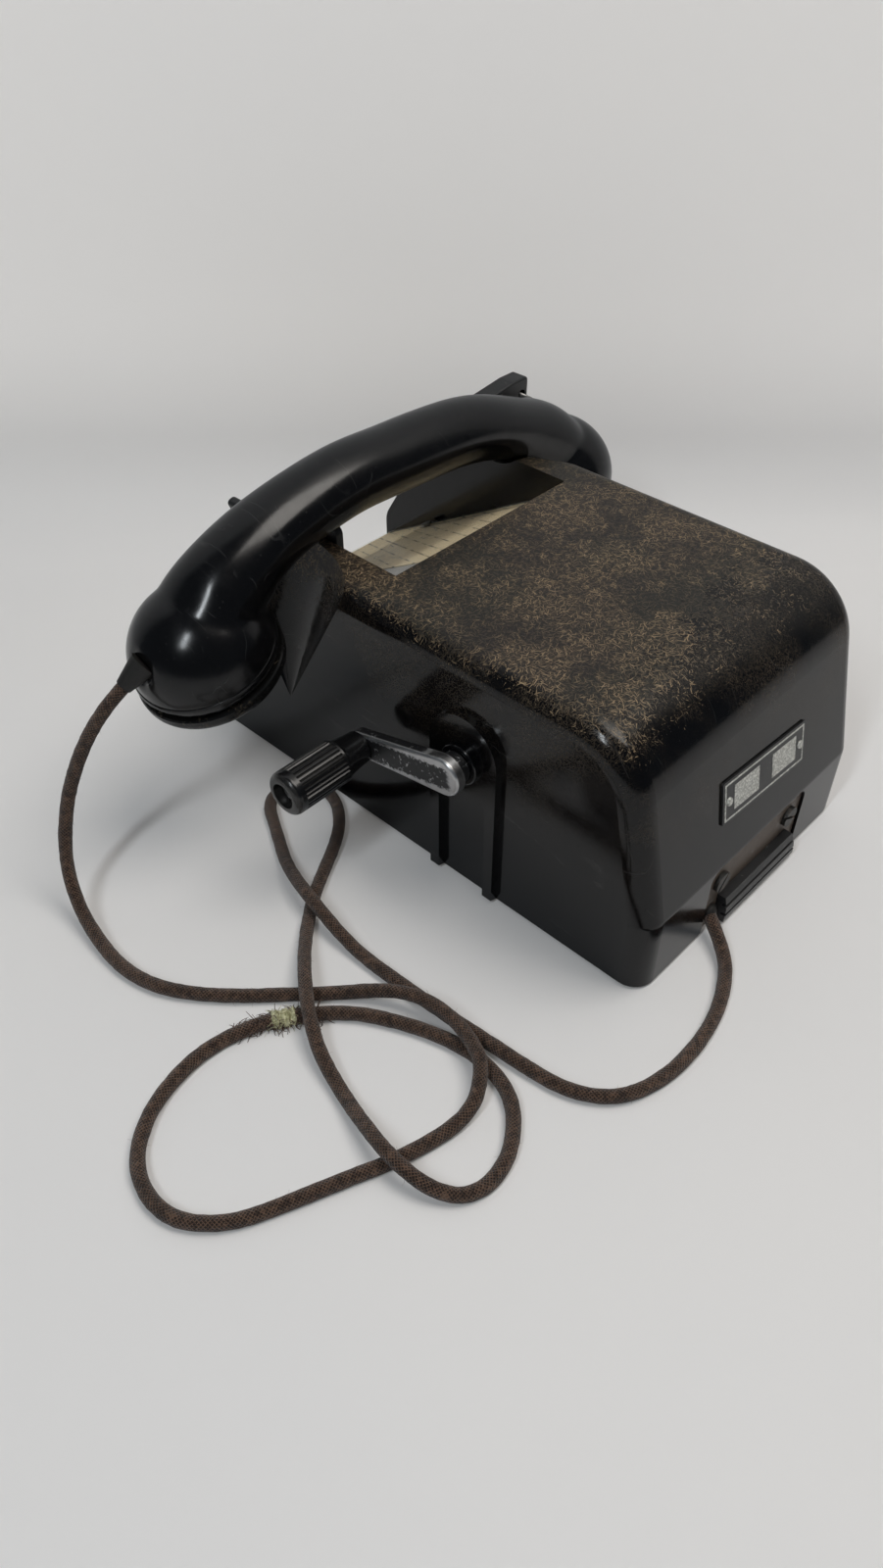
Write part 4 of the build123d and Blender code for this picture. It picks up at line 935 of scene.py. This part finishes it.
def make_plate_trim():
    """The bare metal left in the etched plate: its border and two blank fields."""
    half_wide, half_high, line, thick, soft_edge = 25.1, 7.35, 0.75, 0.12, 0.04
    strips = [(0, side * (half_high - line / 2), 2 * half_wide, line) for side in (1, -1)]
    strips += [(side * (half_wide - line / 2), 0, line, 2 * (half_high - line)) for side in (1, -1)]
    fields = [(at, 0, 15.4, 9.6) for at in (-12.2, 11.6)]
    bm = bmesh.new()
    for x, y, wide, high in strips + fields:
        field = bmesh.ops.create_grid(bm, x_segments=1, y_segments=1, size=0.5)["verts"]
        bmesh.ops.scale(bm, vec=(wide * MM, high * MM, 1), verts=field)
        bmesh.ops.translate(bm, vec=(x * MM, y * MM, 0), verts=field)
    grown = bmesh.ops.extrude_face_region(bm, geom=bm.faces[:])["geom"]
    raised = [v for v in grown if isinstance(v, bmesh.types.BMVert)]
    bmesh.ops.translate(bm, vec=(0, 0, thick * MM), verts=raised)
    bmesh.ops.recalc_face_normals(bm, faces=bm.faces)
    edges = [edge for edge in bm.edges if edge.is_manifold and edge.calc_face_angle(0) > 1.0]
    bmesh.ops.bevel(bm, geom=edges, offset=soft_edge * MM, segments=1, profile=0.5, affect="EDGES",
                    material=-1)
    bmesh.ops.transform(bm, matrix=plate_frame(), verts=bm.verts)
    trim = finish_mesh("nameplate_trim", bm, "base", 30)


make_handset()
make_cup_lips()
make_plate_trim()

# ------------------------------------------------------------------ dressing
dress(case_finish(), "case")
dress(polished_black(), "handset_body", "mouth_cup_lip", "ear_cup_lip", "handset_shell", "crank_bush")
dress(worn_black(), "mouthpiece_cap", "ear_cap")
dress(knob_finish(), "crank_knob")
dress(arm_finish(), "crank_arm")
dress(black_paint(), "cradle_bar", "hook_lever", "terminal_cover")
dress(dull_steel("screw steel", 0.45, 0.35), "card_screws", "base_screws", "crank_shaft", "crank_pin",
      "wire_ring")
dress(dull_steel("holder steel", 0.4, 0.25, 0.25, 0.45), "card_holder", "base_plate")
dress(dull_steel("rusty plate", 0.3, 1.0, 0.4, 0.6, 0.2), "terminal_plate")
dress(dull_steel("dark screws", 0.08, 0.7, 0.4, 0.6, 0.45), "terminal_screws")
dress(card_finish(), "card", "card_strip")
dress(clear_sheet(), "card_window")
dress(enamel(), "nameplate")
dress(bare_plate(), "nameplate_trim", "nameplate_rivets")
dress(soft_rubber(), "cord_boot", "cord_gland", "feet")
dress(capsule_metal(), "transmitter", "receiver")
# the nodes that finer pieces stand for have the same finishes
dress(bpy.data.materials["braided cotton"], "cord")
dress(bpy.data.materials["cream binding"], "splice_tape")


# ------------------------------------------------------------- floor, lights
def make_backdrop():
    """A pale sheet: flat under the telephone, rolling up into the wall that the camera faces."""
    heading = Vector((-0.728, -0.686, 0))
    start = Vector((eye.x, eye.y, 0))
    side = Vector((-heading.y, heading.x, 0))
    roll, wall_at, wall_high, behind_camera, half_wide = 0.05, 0.56, 1.9, 1.4, 1.8
    steps = 12
    outline = [(-behind_camera, 0.0), (wall_at - roll, 0.0)]
    for step in range(1, steps + 1):
        turn = step * pi / 2 / steps
        outline.append((wall_at - roll + roll * sin(turn), roll - roll * cos(turn)))
    outline.append((wall_at, wall_high))
    bm = bmesh.new()
    line = [bm.verts.new(start + heading * d + side * half_wide + Vector((0, 0, z))) for d, z in outline]
    edges = [bm.edges.new(pair) for pair in zip(line[:-1], line[1:])]
    grown = bmesh.ops.extrude_edge_only(bm, edges=edges)["geom"]
    across = [v for v in grown if isinstance(v, bmesh.types.BMVert)]
    bmesh.ops.translate(bm, vec=side * -2 * half_wide, verts=across)
    bmesh.ops.recalc_face_normals(bm, faces=bm.faces)
    for face in bm.faces:
        face.smooth = True
    mesh = bpy.data.meshes.new("backdrop")
    bm.to_mesh(mesh)
    bm.free()
    sheet = bpy.data.objects.new("backdrop", mesh)
    scene.collection.objects.link(sheet)
    sheet.data.materials.append(floor_finish())


def make_lamp(name, spot, aim, size, power, tone):
    """A square or oblong lamp that shines from a spot toward an aim."""
    data = bpy.data.lights.new(name, "AREA")
    data.shape = "RECTANGLE"
    data.size, data.size_y = size
    data.energy = power
    data.color = tone
    lamp = bpy.data.objects.new(name, data)
    scene.collection.objects.link(lamp)
    lamp.location = spot
    lamp.rotation_mode = "QUATERNION"
    lamp.rotation_quaternion = (Vector(aim) - Vector(spot)).to_track_quat("-Z", "Y")


def make_world():
    """The room's faint bluish light."""
    world = bpy.data.worlds.new("room")
    world.use_nodes = True
    room = world.node_tree.nodes["Background"]
    room.inputs["Color"].default_value = colour(0.72, 0.86, 1.0)
    room.inputs["Strength"].default_value = 0.075
    scene.world = world


make_backdrop()
make_world()
make_lamp("ceiling", (-0.3, 0.35, 1.3), (0.0, 0.0, 0.0), (0.8, 0.8), 10.2, (1.0, 0.955, 0.895))
make_lamp("window", (0.95, 0.2, 1.15), (0.0, 0.0, 0.05), (0.12, 0.5), 4.8, (0.9, 0.96, 1.0))
scene.view_settings.view_transform = "Standard"

bpy.context.view_layer.update()
